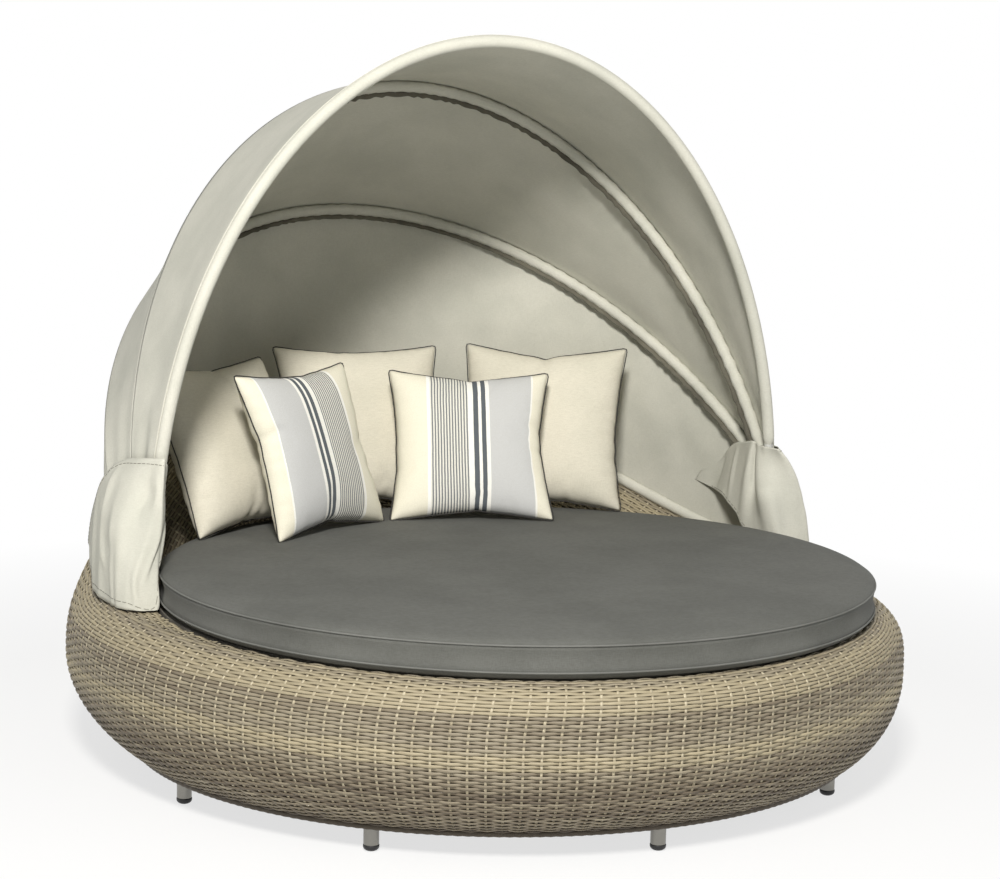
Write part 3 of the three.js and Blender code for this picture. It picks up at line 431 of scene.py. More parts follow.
def cord_tree():
    """A round cord along every edge path of the mesh it is given, used for piping and stitching lines."""
    tree, add = new_tree("round_cord", [
        ("Cord Radius", "NodeSocketFloat", 0.002), ("Cord Material", "NodeSocketMaterial", None)])
    inputs = add("NodeGroupInput")
    curve = add("GeometryNodeMeshToCurve", {"Mesh": inputs[0]})[0]
    ring = add("GeometryNodeCurvePrimitiveCircle", {"Resolution": 8, "Radius": inputs["Cord Radius"]},
               mode="RADIUS")[0]
    solid = add("GeometryNodeCurveToMesh", {"Curve": curve, "Profile Curve": ring, "Fill Caps": True})[0]
    smooth = add("GeometryNodeSetShadeSmooth", {"Geometry": solid, "Shade Smooth": True})[0]
    close_tree(add, smooth, inputs["Cord Material"])
    return tree


def through_tree(piece, tree, values):
    """Runs a piece through a node tree and keeps the result as a plain mesh."""
    modifier = piece.modifiers.new("nodes", "NODES")
    modifier.node_group = tree
    for item in tree.interface.items_tree:
        if item.item_type == "SOCKET" and item.in_out == "INPUT" and item.name in values:
            modifier[item.identifier] = values[item.name]
    return finished(piece, [])


# Materials

# How rough every noise pattern is, and the lightest tone of the flecks that darken a colour
ROUGH = {"Roughness": 0.55}
PALE_FLECK = "#ffffff"
# Stripes of the cushion covers: where each starts across the cover, and its colour
CREAM, WHITE, SLATE = "#efebd8", "#f6f5ee", "#5b6166"
STRIPES = [(0.0, CREAM), (0.225, "#fbfaf4"), (0.245, "#e9e7dd"), (0.480, WHITE), (0.512, SLATE),
           (0.543, WHITE), (0.566, SLATE), (0.593, WHITE), (0.617, "#c9cac9"), (0.885, WHITE), (0.897, CREAM)]
FINE_BAND, FINE_LINES = (0.245, 0.480), 13


def linear(code):
    """An sRGB hex value as linear colour."""
    values = [int(code[i:i + 2], 16) / 255 for i in (1, 3, 5)]
    return tuple(v / 12.92 if v <= 0.04045 else ((v + 0.055) / 1.055) ** 2.4 for v in values) + (1.0,)


def hex_of(colour):
    """A colour property as sRGB hex."""
    values = [c * 12.92 if c <= 0.0031308 else 1.055 * c ** (1 / 2.4) - 0.055 for c in colour[:3]]
    return "#" + "".join(f"{round(min(max(v, 0), 1) * 255):02x}" for v in values)


def new_material(name, base, roughness, metallic=0.0):
    material = bpy.data.materials.new(name)
    material.use_nodes = True
    inputs = material.node_tree.nodes["Principled BSDF"].inputs
    inputs["Base Color"].default_value = material.diffuse_color = linear(base)
    inputs["Roughness"].default_value, inputs["Metallic"].default_value = roughness, metallic
    return material, partial(node, material.node_tree)


def surfaced(material, height, strength, distance, **links):
    """Links a pattern to the material's shader: its height as a bump, and its colour or roughness."""
    tree = material.node_tree
    links["Normal"] = node(tree, "Bump", {"Height": height, "Strength": strength, "Distance": distance})[0]
    for key, value in links.items():
        tree.links.new(value, tree.nodes["Principled BSDF"].inputs[key.replace("_", " ")])
    return material


def wicker_material(name, stops, grain=0.35):
    """Extruded polyethylene strand, drawn flat with fine grooves: dull, no two of quite one tone."""
    material, add = new_material(name, stops[1][1], 0.62)
    tone, run, row, across = (add("Attribute", attribute_name=key)["Fac"]
                              for key in ("tone", "run", "row", "across"))
    # Tone drifts over some 160 mm along a strand and jumps from strand to strand
    place = add("CombineXYZ", {0: run, 1: row})[0]
    drift = add("TexNoise", {"Vector": place, "Scale": 6.0, "Detail": 2.0, **ROUGH})["Fac"]
    swing = add("Math", {0: drift, 1: 0.55, 2: -0.275}, operation="MULTIPLY_ADD")[0]
    colour = add("ValToRGB", {"Fac": add("Math", {0: tone, 1: swing})[0]}, stops)[0]
    # Grooves about 0.8 mm wide run along each strand
    fine = [add("Math", {0: way, 1: times}, operation="MULTIPLY")[0]
            for way, times in ((run, 9.0), (across, 6.0))]
    place = add("CombineXYZ", {0: fine[0], 1: fine[1], 2: row})[0]
    groove = add("TexNoise", {"Vector": place, "Scale": 2.2, "Detail": 2.0, **ROUGH})["Fac"]
    shade = add("ValToRGB", {"Fac": groove}, [(0.3, "#c9c4bc"), (0.62, PALE_FLECK)])[0]
    return surfaced(
        material, groove, grain, 0.0006,
        Base_Color=add("Mix", {0: 0.8, 6: colour, 7: shade}, data_type="RGBA", blend_type="MULTIPLY")[2],
        Roughness=add("Math", {0: groove, 1: 0.25, 2: 0.48}, operation="MULTIPLY_ADD")[0])


def cloth_material(name, code, shade_code, thread_mm, weave_strength, mottle=0.35):
    """Plain-woven cloth: even crossing threads, dull, with slight clouding from handling and weather."""
    material, add = new_material(name, code, 0.9)
    place = add("TexCoord")["Object"]
    cloud = add("TexNoise", {"Vector": place, "Scale": 5.0, "Detail": 4.0, **ROUGH})["Fac"]
    colour = add("ValToRGB", {"Fac": cloud}, [(0.32, shade_code), (0.62, code)])[0]
    # Threads are drawn at the spacing given, coarser than the real 0.5 mm so that they show
    pitch = 1000.0 / thread_mm
    slubs = []
    for scale in ((pitch * 0.12, pitch * 0.12, pitch), (pitch, pitch, pitch * 0.12)):
        drawn = add("Mapping", {"Vector": place, "Scale": scale})[0]
        slubs.append(add("TexNoise", {"Vector": drawn, "Scale": 1.0, "Detail": 2.0, **ROUGH})["Fac"])
    threads = add("Math", {0: slubs[0], 1: slubs[1]})[0]
    half = add("Math", {0: threads, 1: 0.5}, operation="MULTIPLY")[0]
    fleck = add("ValToRGB", {"Fac": half}, [(0.35, "#d8d6d0"), (0.6, PALE_FLECK)])[0]
    return surfaced(
        material, threads, weave_strength, 0.0005,
        Base_Color=add("Mix", {0: mottle, 6: colour, 7: fleck}, data_type="RGBA", blend_type="MULTIPLY")[2])


def striped_material(name, mirrored):
    """Yarn-dyed cotton stripes: cream ground, fine slate lines, two slate bars and a pale grey band."""
    material, add = new_material(name, CREAM, 0.9)
    u = add("SeparateXYZ", {0: add("UVMap", uv_map="cloth")[0]})[0]
    if mirrored:
        u = add("Math", {0: 1.0, 1: u}, operation="SUBTRACT")[0]
    bands = add("ValToRGB", {"Fac": u}, STRIPES)[0]
    bands.node.color_ramp.interpolation = "CONSTANT"
    # Fine lines across the second band
    low, high = FINE_BAND
    lines = FINE_LINES / (high - low)
    phase = add("Math", {0: u, 1: lines, 2: -low * lines}, operation="MULTIPLY_ADD")[0]
    part = add("Math", {0: phase}, operation="FRACT")[0]
    line, above, below = (add("Math", {0: value, 1: limit}, operation=test)[0] for value, limit, test in (
        (part, 0.52, "GREATER_THAN"), (u, low, "GREATER_THAN"), (u, high, "LESS_THAN")))
    inside = add("Math", {0: above, 1: below}, operation="MULTIPLY")[0]
    drawn = add("Math", {0: line, 1: inside}, operation="MULTIPLY")[0]
    colour = add("Mix", {0: drawn, 6: bands, 7: linear("#777b7e")}, data_type="RGBA")[2]
    place = add("TexCoord")["Object"]
    flecks = add("TexNoise", {"Vector": place, "Scale": 700.0, "Detail": 2.0, **ROUGH})["Fac"]
    fleck = add("ValToRGB", {"Fac": flecks}, [(0.3, "#e2e0da"), (0.65, PALE_FLECK)])[0]
    return surfaced(
        material, flecks, 0.25, 0.0006,
        Base_Color=add("Mix", {0: 0.6, 6: colour, 7: fleck}, data_type="RGBA", blend_type="MULTIPLY")[2])


def grained(name, base, roughness, metallic, scale, detail, share, low, strength, distance):
    """A plain finish whose fine grain, its scale given per metre, changes its gloss and its surface."""
    material, add = new_material(name, base, roughness, metallic)
    place = add("Mapping", {"Vector": add("TexCoord")["Object"], "Scale": scale})[0]
    grain = add("TexNoise", {"Vector": place, "Scale": 1.0, "Detail": detail, **ROUGH})["Fac"]
    gloss = add("Math", {0: grain, 1: share, 2: low}, operation="MULTIPLY_ADD")[0]
    return surfaced(material, grain, strength, distance, Roughness=gloss)


def weathered_board(name):
    """Exterior plywood: long soft grain about 6 mm wide, greyed by damp."""
    material, add = new_material(name, "#6d6a63", 0.8)
    place = add("Mapping", {"Vector": add("TexCoord")["Object"], "Scale": (6.0, 160.0, 40.0)})[0]
    grain = add("TexNoise", {"Vector": place, "Scale": 1.0, "Detail": 4.0, **ROUGH})["Fac"]
    colour = add("ValToRGB", {"Fac": grain}, [(0.3, "#57534a"), (0.7, "#7d7970")])[0]
    return surfaced(material, grain, 0.3, 0.0006, Base_Color=colour)


MATERIALS = {}


def materials():
    """Makes every material once."""
    if MATERIALS:
        return MATERIALS
    colours = bpy.context.scene.daybed_cloth
    MATERIALS.update({
        "strand": wicker_material("extruded_wicker_strand", [
            (0.0, "#51473a"), (0.18, "#6b604f"), (0.34, "#857b68"), (0.47, "#988f7b"), (0.60, "#a1977e"),
            (0.78, "#b0a589"), (0.95, "#beb499")]),
        "stake": wicker_material("extruded_wicker_stake", [
            (0.0, "#a1977f"), (0.5, "#bdb399"), (1.0, "#cfc6ad")], 0.2),
        "border": wicker_material("extruded_wicker_border", [
            (0.0, "#393126"), (0.5, "#4b4234"), (1.0, "#5f5543")]),
        "backing": cloth_material("shaded_strand_backs", "#4a4237", "#3a342b", 9.0, 0.4),
        "canvas": cloth_material("woven_outdoor_canvas", hex_of(colours.canvas_colour), "#c3c3b7", 1.2, 0.22),
        "thread": cloth_material("sewing_thread", "#7f7c70", "#6b685d", 1.0, 0.2),
        # The sleeves' gathered edges are real cloth, but their canvas is painted dark: painted shade under the
        # sleeves
        "ruffle": cloth_material("gathered_canvas_edge_painted_shade", "#6d6a5d", "#4f4c42", 1.2, 0.3, 0.5),
        "mattress": cloth_material("woven_mattress_cover", hex_of(colours.mattress_colour), "#575854",
                                   1.6, 0.35, 0.6),
        "cushion": cloth_material("woven_cushion_cover", hex_of(colours.cushion_colour), "#d4d0bf",
                                  1.6, 0.3, 0.4),
        "piping": cloth_material("twisted_piping_cord", "#3b3a37", "#2e2d2b", 1.2, 0.4),
        # The welts are painted lighter than the mattress cover they are sewn from: a painted highlight along
        # both welts
        "piping_self": cloth_material("self_piping_painted_highlight", "#70716d", "#646561", 1.2, 0.3),
        "striped": striped_material("yarn_dyed_stripes", False),
        "striped_mirrored": striped_material("yarn_dyed_stripes_mirrored", True),
        # Stainless tube, belt-brushed round its length: fine rings that stretch the highlight
        "steel": grained("belt_brushed_stainless", "#8b8983", 0.3, 1.0, (60.0, 60.0, 2600.0), 3.0, 0.3, 0.18,
                         0.15, 0.0002),
        # Injection-moulded plastic: even, with a fine spark-eroded texture about half a millimetre across
        "glide": grained("moulded_black_nylon", "#19191a", 0.5, 0.0, (1800.0,) * 3, 2.0, 0.2, 0.4,
                         0.2, 0.0002),
        # Powder coat on metal tube: satin, with a faint orange peel about 2 mm across
        **{key: grained(name, code, 0.45, 0.0, (480.0,) * 3, 2.0, 0.15, 0.38, 0.12, 0.0003)
           for key, name, code in (("hoop", "powder_coated_aluminium", "#cfcfc9"),
                                   ("frame", "powder_coated_steel", "#6a655c"))},
        "board": weathered_board("greyed_exterior_plywood"),
    })
    return MATERIALS


# Settings that a user would change

LENGTH = {"unit": "LENGTH", "subtype": "DISTANCE"}


def colour_property(name, description, code):
    return bpy.props.FloatVectorProperty(name=name, description=description, subtype="COLOR", size=3,
                                         default=linear(code)[:3])


class DaybedWeave(bpy.types.PropertyGroup):
    rows: bpy.props.IntProperty(name="Rows", description="Rows of flat strand on the outer face at the front",
                                default=52, min=10, max=90)
    depth: bpy.props.FloatProperty(name="Weave Depth",
                                   description="How far a strand swings in and out of the stakes",
                                   default=0.0021, **LENGTH)
    thickness: bpy.props.FloatProperty(name="Strand Thickness", description="Thickness of a flat strand",
                                       default=0.0016, **LENGTH)
    cover: bpy.props.FloatProperty(name="Cover",
                                   description="Share of the row's height that its strand fills",
                                   default=0.87)
    stake_width: bpy.props.FloatProperty(name="Stake Width", description="Width of an upright stake",
                                         default=0.0056, **LENGTH)
    seed: bpy.props.IntProperty(name="Seed", description="Seed of the tones of the strands", default=7)


class DaybedCloth(bpy.types.PropertyGroup):
    canvas_colour: colour_property("Canvas", "Colour of the canopy's canvas", "#d0cfc3")
    mattress_colour: colour_property("Mattress", "Colour of the mattress cover", "#60615d")
    cushion_colour: colour_property("Cushions", "Colour of the plain cushions", "#ded9c8")
    sag: bpy.props.FloatProperty(name="Canvas Sag", description="How far the canvas sags between two hoops",
                                 default=0.016, **LENGTH)
    sleeve: bpy.props.FloatProperty(name="Sleeve Radius", description="Radius of the sleeves round the hoops",
                                    default=0.0155, **LENGTH)


# Woven body

# How deep strands, stakes, the backing's two sides and the crest's strand start below the faces of the solid
STRAND_DEPTH, STAKE_DEPTH, BACKING_DEPTHS, CREST_DEPTH = 3.2, 4.2, (4.9, 7.4), 3.4
# Rows of the inner face stand this far apart
INNER_PITCH = 9.6
# An outer row taller than TALL_ROW splits in two over the next SPLIT_OVER millimetres, and its second half
# is drawn past the share SPLIT_SHOWN of that
TALL_ROW, SPLIT_OVER, SPLIT_SHOWN = 12.6, 1.6, 0.35
# Columns of the weave's grid from one stake to the next
COLUMNS_PER_STAKE = 4
# Steps along a stake on the outer and on the inner face
STAKE_STEPS = (44, 30)
# Rows in a group and their tone, from the rim down
STRAND_GROUPS = ((3, 0.48), (8, 0.70), (10, 0.42), (5, 0.69), (10, 0.40), (4, 0.52))


def strand_tones(count, seed):
    """Tone of each row: broad groups of straw, grey and brown, with small steps, and painted shade that makes
    the rows darker lower down.
    """
    rng = random.Random(seed)
    levels = [level for rows, level in STRAND_GROUPS for _ in range(rows)]
    # Rows past halfway down get painted shade, darker towards the bottom
    tones = (levels[i % len(levels)] + rng.uniform(-0.08, 0.08) - max(0.0, i / count - 0.5)
             for i in range(count))
    return [min(max(tone, 0.02), 0.9) for tone in tones]


def weave_data():
    """Face lines, their measures and outward sides, for the outer and the inner face."""
    columns = STAKES * COLUMNS_PER_STAKE
    both = [body_lines(i / columns * 2 * math.pi) for i in range(columns)]
    made = []
    for lines, want in ((np.array([outside for _, outside in both]), (0, -1.0, 0)),
                        (np.array([inside[::-1] for inside, _ in both]), (0, 0, 1.0))):
        made.append((lines, np.array([lengths(line) for line in lines]),
                     facing_of(lines, (0, lines.shape[1] // 2), want, closed=True)))
    return made


def strand_grid(rows, data, pitch_of, place_of, shown_of, weave, tones, shift=0.0, phase=0):
    """Points, faces, sides and attributes of one face's ribbons; the three functions take whole arrays."""
    lines, measures, facings = data
    columns, totals, numbers = len(lines), measures[:, -1:], np.arange(rows)[None, :]
    middle = place_of(numbers, totals)
    half = pitch_of(totals) * weave.cover / 2 + 0 * middle
    shown = shown_of(middle, half, totals)
    at = np.clip(np.stack([middle - half, middle + half], -1), 0, totals[..., None])
    place, facing = (np.array([along_line(values[k], measures[k], at[k]) for k in range(columns)])
                     for values in (lines, facings))
    middle_line = lines[:, lines.shape[1] // 2]
    girth = np.linalg.norm(np.roll(middle_line, -1, 0) - middle_line, axis=1).cumsum() * MM
    k, j = np.arange(columns)[:, None, None], np.arange(rows)[None, :, None]
    flat = np.zeros((columns, rows, 2))
    values = {
        "wave": flat + np.cos(np.pi * (k / COLUMNS_PER_STAKE + j + phase)),
        "tone": flat + np.resize(tones, rows)[None, :, None],
        "run": flat + girth[:, None, None],
        "row": flat + j * 1.37 + shift,
        "across": flat + np.array([0.0, 1.0]),
    }
    a = (np.arange(columns)[:, None] * rows + numbers) * 2
    b = np.roll(a, -1, 0)
    keep = shown & np.roll(shown, -1, 0)
    faces = np.stack([a, a + 1, b + 1, b], -1).transpose(1, 0, 2)[keep.T]
    points = (place - facing * STRAND_DEPTH).reshape(-1, 3)
    return points, faces, facing.reshape(-1, 3), {name: value.ravel() for name, value in values.items()}


def wound_outwards(faces, corners, want):
    """Faces turned over where their first one looks away from want."""
    side = np.cross(corners[1] - corners[0], corners[2] - corners[0])
    return faces[:, ::-1] if np.dot(side, want) < 0 else faces


def ribbons(name, made, tree, weave, material, depth=None):
    """Strands from ribbons, by way of the node tree."""
    points, faces, facing, values = made
    used, faces = np.unique(faces, return_inverse=True)
    faces, points, facing = faces.reshape(-1, 4), points[used], facing[used]
    faces = wound_outwards(faces, points[faces[0]], facing[faces[0][0]])
    attributes = {"facing": facing, **{key: value[used] for key, value in values.items()}}
    piece = mesh_piece(name, points, faces.tolist(), attributes=attributes)
    through_tree(piece, tree, {"Weave Depth": weave.depth if depth is None else depth,
                               "Strand Thickness": weave.thickness, "Strand Material": material})
    piece.data.shade_smooth()
    for spent in ("facing", "wave"):
        piece.data.attributes.remove(piece.data.attributes[spent])
    return piece


def mark_strand(piece, tone):
    """Gives a plain piece the attributes that the wicker's material reads."""
    co = read_points(piece.data)
    set_attributes(piece.data, {"tone": np.full(len(co), tone), "run": np.arctan2(co[:, 0], -co[:, 1]),
                                "row": np.zeros(len(co)), "across": co[:, 2] * 100})
    return piece


class DaybedWovenBody(bpy.types.Operator):
    """Weave the body's strands over its stakes, with the border at its lower edge"""
    bl_idname = "daybed.woven_body"
    bl_label = "Woven Body"

    def execute(self, context):
        weave = context.scene.daybed_weave
        look, tree = materials(), strand_tree()
        outer, inner = weave_data()
        rows = weave.rows
        tones = strand_tones(rows, weave.seed)

        # Outer face: rows share the height, and split in two where the back makes them too tall
        def split(total):
            return eased((total / rows - TALL_ROW) / SPLIT_OVER)

        def outer_rows(side, shown, *more):
            return strand_grid(
                rows, outer, lambda total: total / rows * (1 - 0.5 * split(total)),
                lambda j, total: total * (j + 0.5) / rows + side * total / rows * 0.25 * split(total),
                shown, weave, tones, *more)

        made = outer_rows(-1, lambda middle, half, total: np.ones(middle.shape, bool))
        extra = outer_rows(1, lambda middle, half, total: (split(total) > SPLIT_SHOWN) & (middle > 0), 0.6, 1)
        # Inner face: rows run parallel to the rim, from the rim down to the mattress
        count = int(inner[1][:, -1].max() / INNER_PITCH)
        inside = strand_grid(
            count, inner, lambda total: INNER_PITCH, lambda j, total: (j + 0.5) * INNER_PITCH + 0 * total,
            lambda middle, half, total: middle + half < total + 2, weave,
            strand_tones(count, weave.seed + 3), 0.3)
        points, faces, *more = made
        half = len(faces) // 2
        strands = [("woven_strands_upper", (points, faces[:half], *more)),
                   ("woven_strands_lower", (points, faces[half:], *more)),
                   ("woven_strands_back", extra), ("woven_strands_inside", inside)]
        pieces = [ribbons(name, grid, tree, weave, look["strand"]) for name, grid in strands]
        pieces += [self.stakes(outer, inner, tree, weave, look["stake"]), self.backing(look["backing"]),
                   self.crest(look["strand"])]
        for piece in pieces:
            carried(piece, "base", "woven_shell" if piece == pieces[0] else None)
        carried(self.border(look["border"]), "base", "woven_border")
        return {"FINISHED"}

    def stakes(self, outer, inner, tree, weave, material):
        """Upright stakes that the strands pass in front of and behind."""
        sides = np.array([-0.5, 0.5])[None, :, None] * weave.stake_width / MM
        grids, start = [], 0
        for (lines, measures, facings), steps in zip((outer, inner), STAKE_STEPS):
            side = unit(np.cross(facings, np.gradient(lines, axis=1)))
            a = 2 * np.arange(steps - 1)
            for number in range(STAKES):
                k = number * COLUMNS_PER_STAKE
                at = np.linspace(2, measures[k][-1] - 1, steps)
                place, facing, across = (along_line(v[k], measures[k], at) for v in (lines, facings, side))
                points = ((place - facing * STAKE_DEPTH)[:, None] + across[:, None] * sides).reshape(-1, 3)
                faces = np.stack([a, a + 1, a + 3, a + 2], -1)
                faces = wound_outwards(faces, points[faces[0]], facing[0]) + start
                both = np.zeros((steps, 2))
                values = {"wave": both, "tone": both + 0.35 + 0.5 * ((number * 37) % 11) / 11,
                          "run": both + at[:, None] * MM, "row": both + number * 0.71,
                          "across": both + np.array([0.0, 1.0])}
                grids.append((points, faces, np.repeat(facing, 2, axis=0), values))
                start += 2 * steps
        made = [np.concatenate([grid[n] for grid in grids]) for n in range(3)]
        values = {key: np.concatenate([grid[3][key].ravel() for grid in grids]) for key in grids[0][3]}
        return ribbons("woven_stakes", (*made, values), tree, weave, material, depth=0.0)

    def backing(self, material):
        """The strands' shaded backs, as one closed wall behind the weave."""
        rings = []
        for i in range(STAKES):
            inside, outside = body_lines(i / STAKES * 2 * math.pi, 10)
            rings.append(np.vstack([inside, outside[1:]]))
        rings = np.array(rings)
        facing = facing_of(rings, (0, 0), (0, 0, 1.0), closed=True)
        front, back = (rings - facing * depth for depth in BACKING_DEPTHS)
        section = np.concatenate([front, back[:, ::-1]], axis=1)
        faces = grid_faces(STAKES, section.shape[1], closed_rows=True, closed_columns=True)
        return dress(face_outwards(mesh_piece("woven_backing", section.reshape(-1, 3), faces)), material)

    def crest(self, material):
        """The strand laid along the crest, where the rows of both faces meet."""
        steps = 336
        turns = [i / steps * 2 * math.pi for i in range(steps)]
        path = [ring_point(CREST, turn, rim_height(turn) - CREST_DEPTH) for turn in turns]
        outline = [(2.6, -5.5), (3.2, 0), (2.6, 5.5), (-1.0, 6.5), (-1.0, -6.5)]
        return dress(mark_strand(swept("woven_crest", path, outline, closed=True), 0.6), material)

    def border(self, material):
        """Wrapped border at the lower edge: short turns of strand round a core."""
        wraps, steps, inset = 252, 1008, 12
        ring = (EDGE[0] - inset, EDGE[1] - inset, EDGE[2])
        path = [ring_point(ring, i / steps * 2 * math.pi, EDGE[3] - 5) for i in range(steps)]
        piece = swept("woven_border_wrap", path, circle(8.2, 10), closed=True,
                      radius=lambda i: 1.0 + 0.06 * math.sin(i / steps * 2 * math.pi * wraps))
        return dress(mark_strand(piece, 0.45), material)


# Mattress

# How far the welts' middles lie below the top and above the base
WELT_DOWN, WELT_UP = 21.5, 19.5
# The bowed wall runs between these, measured from the top and from the base
WALL_DOWN, WALL_UP = 28, 26
# Creases mark the wall between these, and hollows the top down to the last, measured the same way
CREASED_DOWN, CREASED_UP, HOLLOWED_DOWN = 18, 22, 20


def mattress_profile():
    """Section of the boxed mattress from the middle of its top to the middle of its base."""
    radius, _, low, high = MATTRESS
    profile = [(0, high)] + [(r, high - 0.8 * (r / 760) ** 2) for r in range(20, 781, 20)]
    profile += [(r, high - down) for r, down in (
        (800, 1.9), (820, 2.7), (836, 3.9), (848, 5.4), (857, 7.2), (864, 9.4), (869, 11.6), (873, 14.2),
        (876.5, 17.0), (radius - 2.6, 18.6), (radius - 0.4, 21.5), (radius - 2.4, 24.4))]
    profile += [(radius - 1.5 - 3.6 * math.sin(math.pi * i / 10) + 0.8,
                 between(high - WALL_DOWN, low + WALL_UP, i / 10)) for i in range(11)]
    profile += [(radius - inset, low + up) for inset, up in (
        (2.4, 22), (0.6, 19), (3.0, 16), (9, 8), (20, 2.4), (44, 0))]
    return profile + [(700, low), (400, low), (0, low)]


def hollow(x, y, dents):
    return sum(deep * math.exp(-((x - a) ** 2 + (y - b) ** 2) / (wide * wide)) for a, b, wide, deep in dents)


class DaybedMattress(bpy.types.Operator):
    """Make the round boxed mattress with its seams, welts and the soft creases of its border"""
    bl_idname = "daybed.mattress"
    bl_label = "Mattress"

    def execute(self, context):
        look = materials()
        radius, cy, low, high = MATTRESS
        profile, sides = mattress_profile(), 480
        creased_from, creased_to = low + CREASED_UP, high - CREASED_DOWN
        rng = random.Random(3)
        creases = [(rng.uniform(0, 2 * math.pi), rng.uniform(0.012, 0.05), rng.uniform(0.5, 1.6))
                   for _ in range(46)]
        dents = [(rng.uniform(-700, 700), rng.uniform(-850, 500), rng.uniform(90, 260), rng.uniform(0.5, 1.6))
                 for _ in range(26)]
        points, starts = [], []
        for r, z in profile:
            starts.append(len(points))
            on_top = z > high - HOLLOWED_DOWN
            if r == 0:
                points.append((0, cy, z - hollow(0, cy, dents) if on_top else z))
                continue
            for k in range(sides):
                turn = k / sides * 2 * math.pi
                reach, height = r, z
                if creased_from < z < creased_to:
                    share = math.sin(math.pi * (z - creased_from) / (creased_to - creased_from))
                    reach -= share * sum(
                        deep * math.exp(-(((turn - at + math.pi) % (2 * math.pi) - math.pi) / wide) ** 2)
                        for at, wide, deep in creases)
                    reach += share * 1.1 * math.sin(turn * 23) * math.sin(turn * 7 + 1)
                x, y = reach * math.sin(turn), cy - reach * math.cos(turn)
                if on_top and r < radius - 10:
                    height -= min(1.0, (radius - r) / 60) * hollow(x, y, dents)
                points.append((x, y, height))
        piece = face_outwards(mesh_piece("boxed_mattress", points, turned_faces(profile, starts, sides)))
        carried(dress(piece, look["mattress"]), "base", "mattress")
        for label, z in (("upper", high - WELT_DOWN), ("lower", low + WELT_UP)):
            ring = [ring_point((radius - 0.2, radius - 0.2, cy), i / 360 * 2 * math.pi, z)
                    for i in range(360)]
            welt = swept(f"mattress_welt_{label}", ring, circle(2.2, 8), closed=True)
            carried(dress(welt, look["piping_self"]), "base")
        return {"FINISHED"}


# Cushions

# How far a cover's sides draw in, how much its upright seams gather and where the gathers start
DRAWN_IN, GATHER, GATHER_START = 0.95, 0.16, 0.72
# Share of the simulation's pull inwards that the filling takes back
PUSHED_BACK = 0.62
# The cover starts this much flatter than its size, with points moved by about this many metres
FLATTENED, UNEVEN = 0.55, 0.0006
# Radius of the piping in millimetres
PIPING = {"plain": 1.5, "striped": 1.7}
LAST_FRAME = 24
CLOTH_SETTINGS = {"quality": 6, "mass": 0.25, "tension_stiffness": 12, "compression_stiffness": 12,
                  "shear_stiffness": 6, "bending_stiffness": 0.35, "use_pressure": True,
                  "uniform_pressure_force": 5.5}


def cushion_mesh(name, size, thickness, count=40):
    """A sewn square: two grids that share their border, a little apart in the middle."""
    half, points, index = size / 2, [], {}

    def corner(face, i, k):
        return (0 if i in (0, count) or k in (0, count) else face, i, k)

    for face in (-1, 1):
        for i in range(count + 1):
            for k in range(count + 1):
                key = corner(face, i, k)
                if key in index:
                    continue
                u, v = i / count * 2 - 1, k / count * 2 - 1
                swell = math.sqrt(max((1 - u ** 4) * (1 - v ** 4), 0))
                swell *= 1 - (GATHER * max(abs(u) - GATHER_START, 0) / (1 - GATHER_START)
                              * (0.5 + 0.5 * math.sin(v * 31 + 2 * math.sin(v * 9))))
                index[key] = len(points)
                points.append((half * u * between(DRAWN_IN, 1, v * v), key[0] * swell * thickness / 2,
                               half * v * between(DRAWN_IN, 1, u * u)))
    faces, uvs = [], []
    for face in (-1, 1):
        for i in range(count):
            for k in range(count):
                corners = [(i, k), (i + 1, k), (i + 1, k + 1), (i, k + 1)][::-face]
                faces.append([index[corner(face, *at)] for at in corners])
                uvs += [(at[0] / count, at[1] / count) for at in corners]
    ahead, back = range(count), range(count, 0, -1)
    seam = [index[corner(1, *at)] for at in ([(i, 0) for i in ahead] + [(count, k) for k in ahead]
                                             + [(i, count) for i in back] + [(0, k) for k in back])]
    piece = mesh_piece(name, points, faces)
    piece.data.uv_layers.new(name="cloth").data.foreach_set("uv", np.array(uvs, np.float32).ravel())
    return face_outwards(piece), seam


def inflate(piece, size, thickness, seed):
    """Sewn cover blown up by its filling: cloth simulation without gravity, brought to its size."""
    mesh, scene = piece.data, bpy.context.scene
    start = read_points(mesh)
    loose = start * (1, FLATTENED, 1) + np.random.default_rng(seed).normal(0, UNEVEN, start.shape)
    mesh.vertices.foreach_set("co", loose.ravel())
    modifier = piece.modifiers.new("cloth", "CLOTH")
    for key, value in CLOTH_SETTINGS.items():
        setattr(modifier.settings, key, value)
    modifier.settings.effector_weights.gravity = 0
    modifier.point_cache.frame_start, modifier.point_cache.frame_end = 1, LAST_FRAME
    for number in range(1, LAST_FRAME + 1):
        scene.frame_set(number)
    blown = read_points(piece.evaluated_get(bpy.context.evaluated_depsgraph_get()).to_mesh())
    piece.modifiers.clear()
    scene.frame_set(1)
    blown -= (blown.max(0) + blown.min(0)) / 2
    blown *= np.array([size, thickness, size]) * MM / (blown.max(0) - blown.min(0))
    blown += (start - blown) * PUSHED_BACK
    mesh.vertices.foreach_set("co", blown.ravel())
    mesh.update()


def place_cushion(pieces, x, y, turn, lean, size):
    """Leans and turns a cushion and its piping, and sets the cushion's lowest point on the mattress."""
    spin = Matrix.Rotation(math.radians(turn), 4, "Z") @ Matrix.Rotation(-math.radians(lean), 4, "X")
    for piece in pieces:
        piece.data.transform(spin)
    low = min(v.co.z for v in pieces[0].data.vertices)
    back = size / 2 * math.sin(math.radians(lean)) * MM
    move = Matrix.Translation((x * MM - back * math.sin(math.radians(turn)),
                               y * MM + back * math.cos(math.radians(turn)), SEAT * MM - low))
    for piece in pieces:
        piece.data.transform(move)


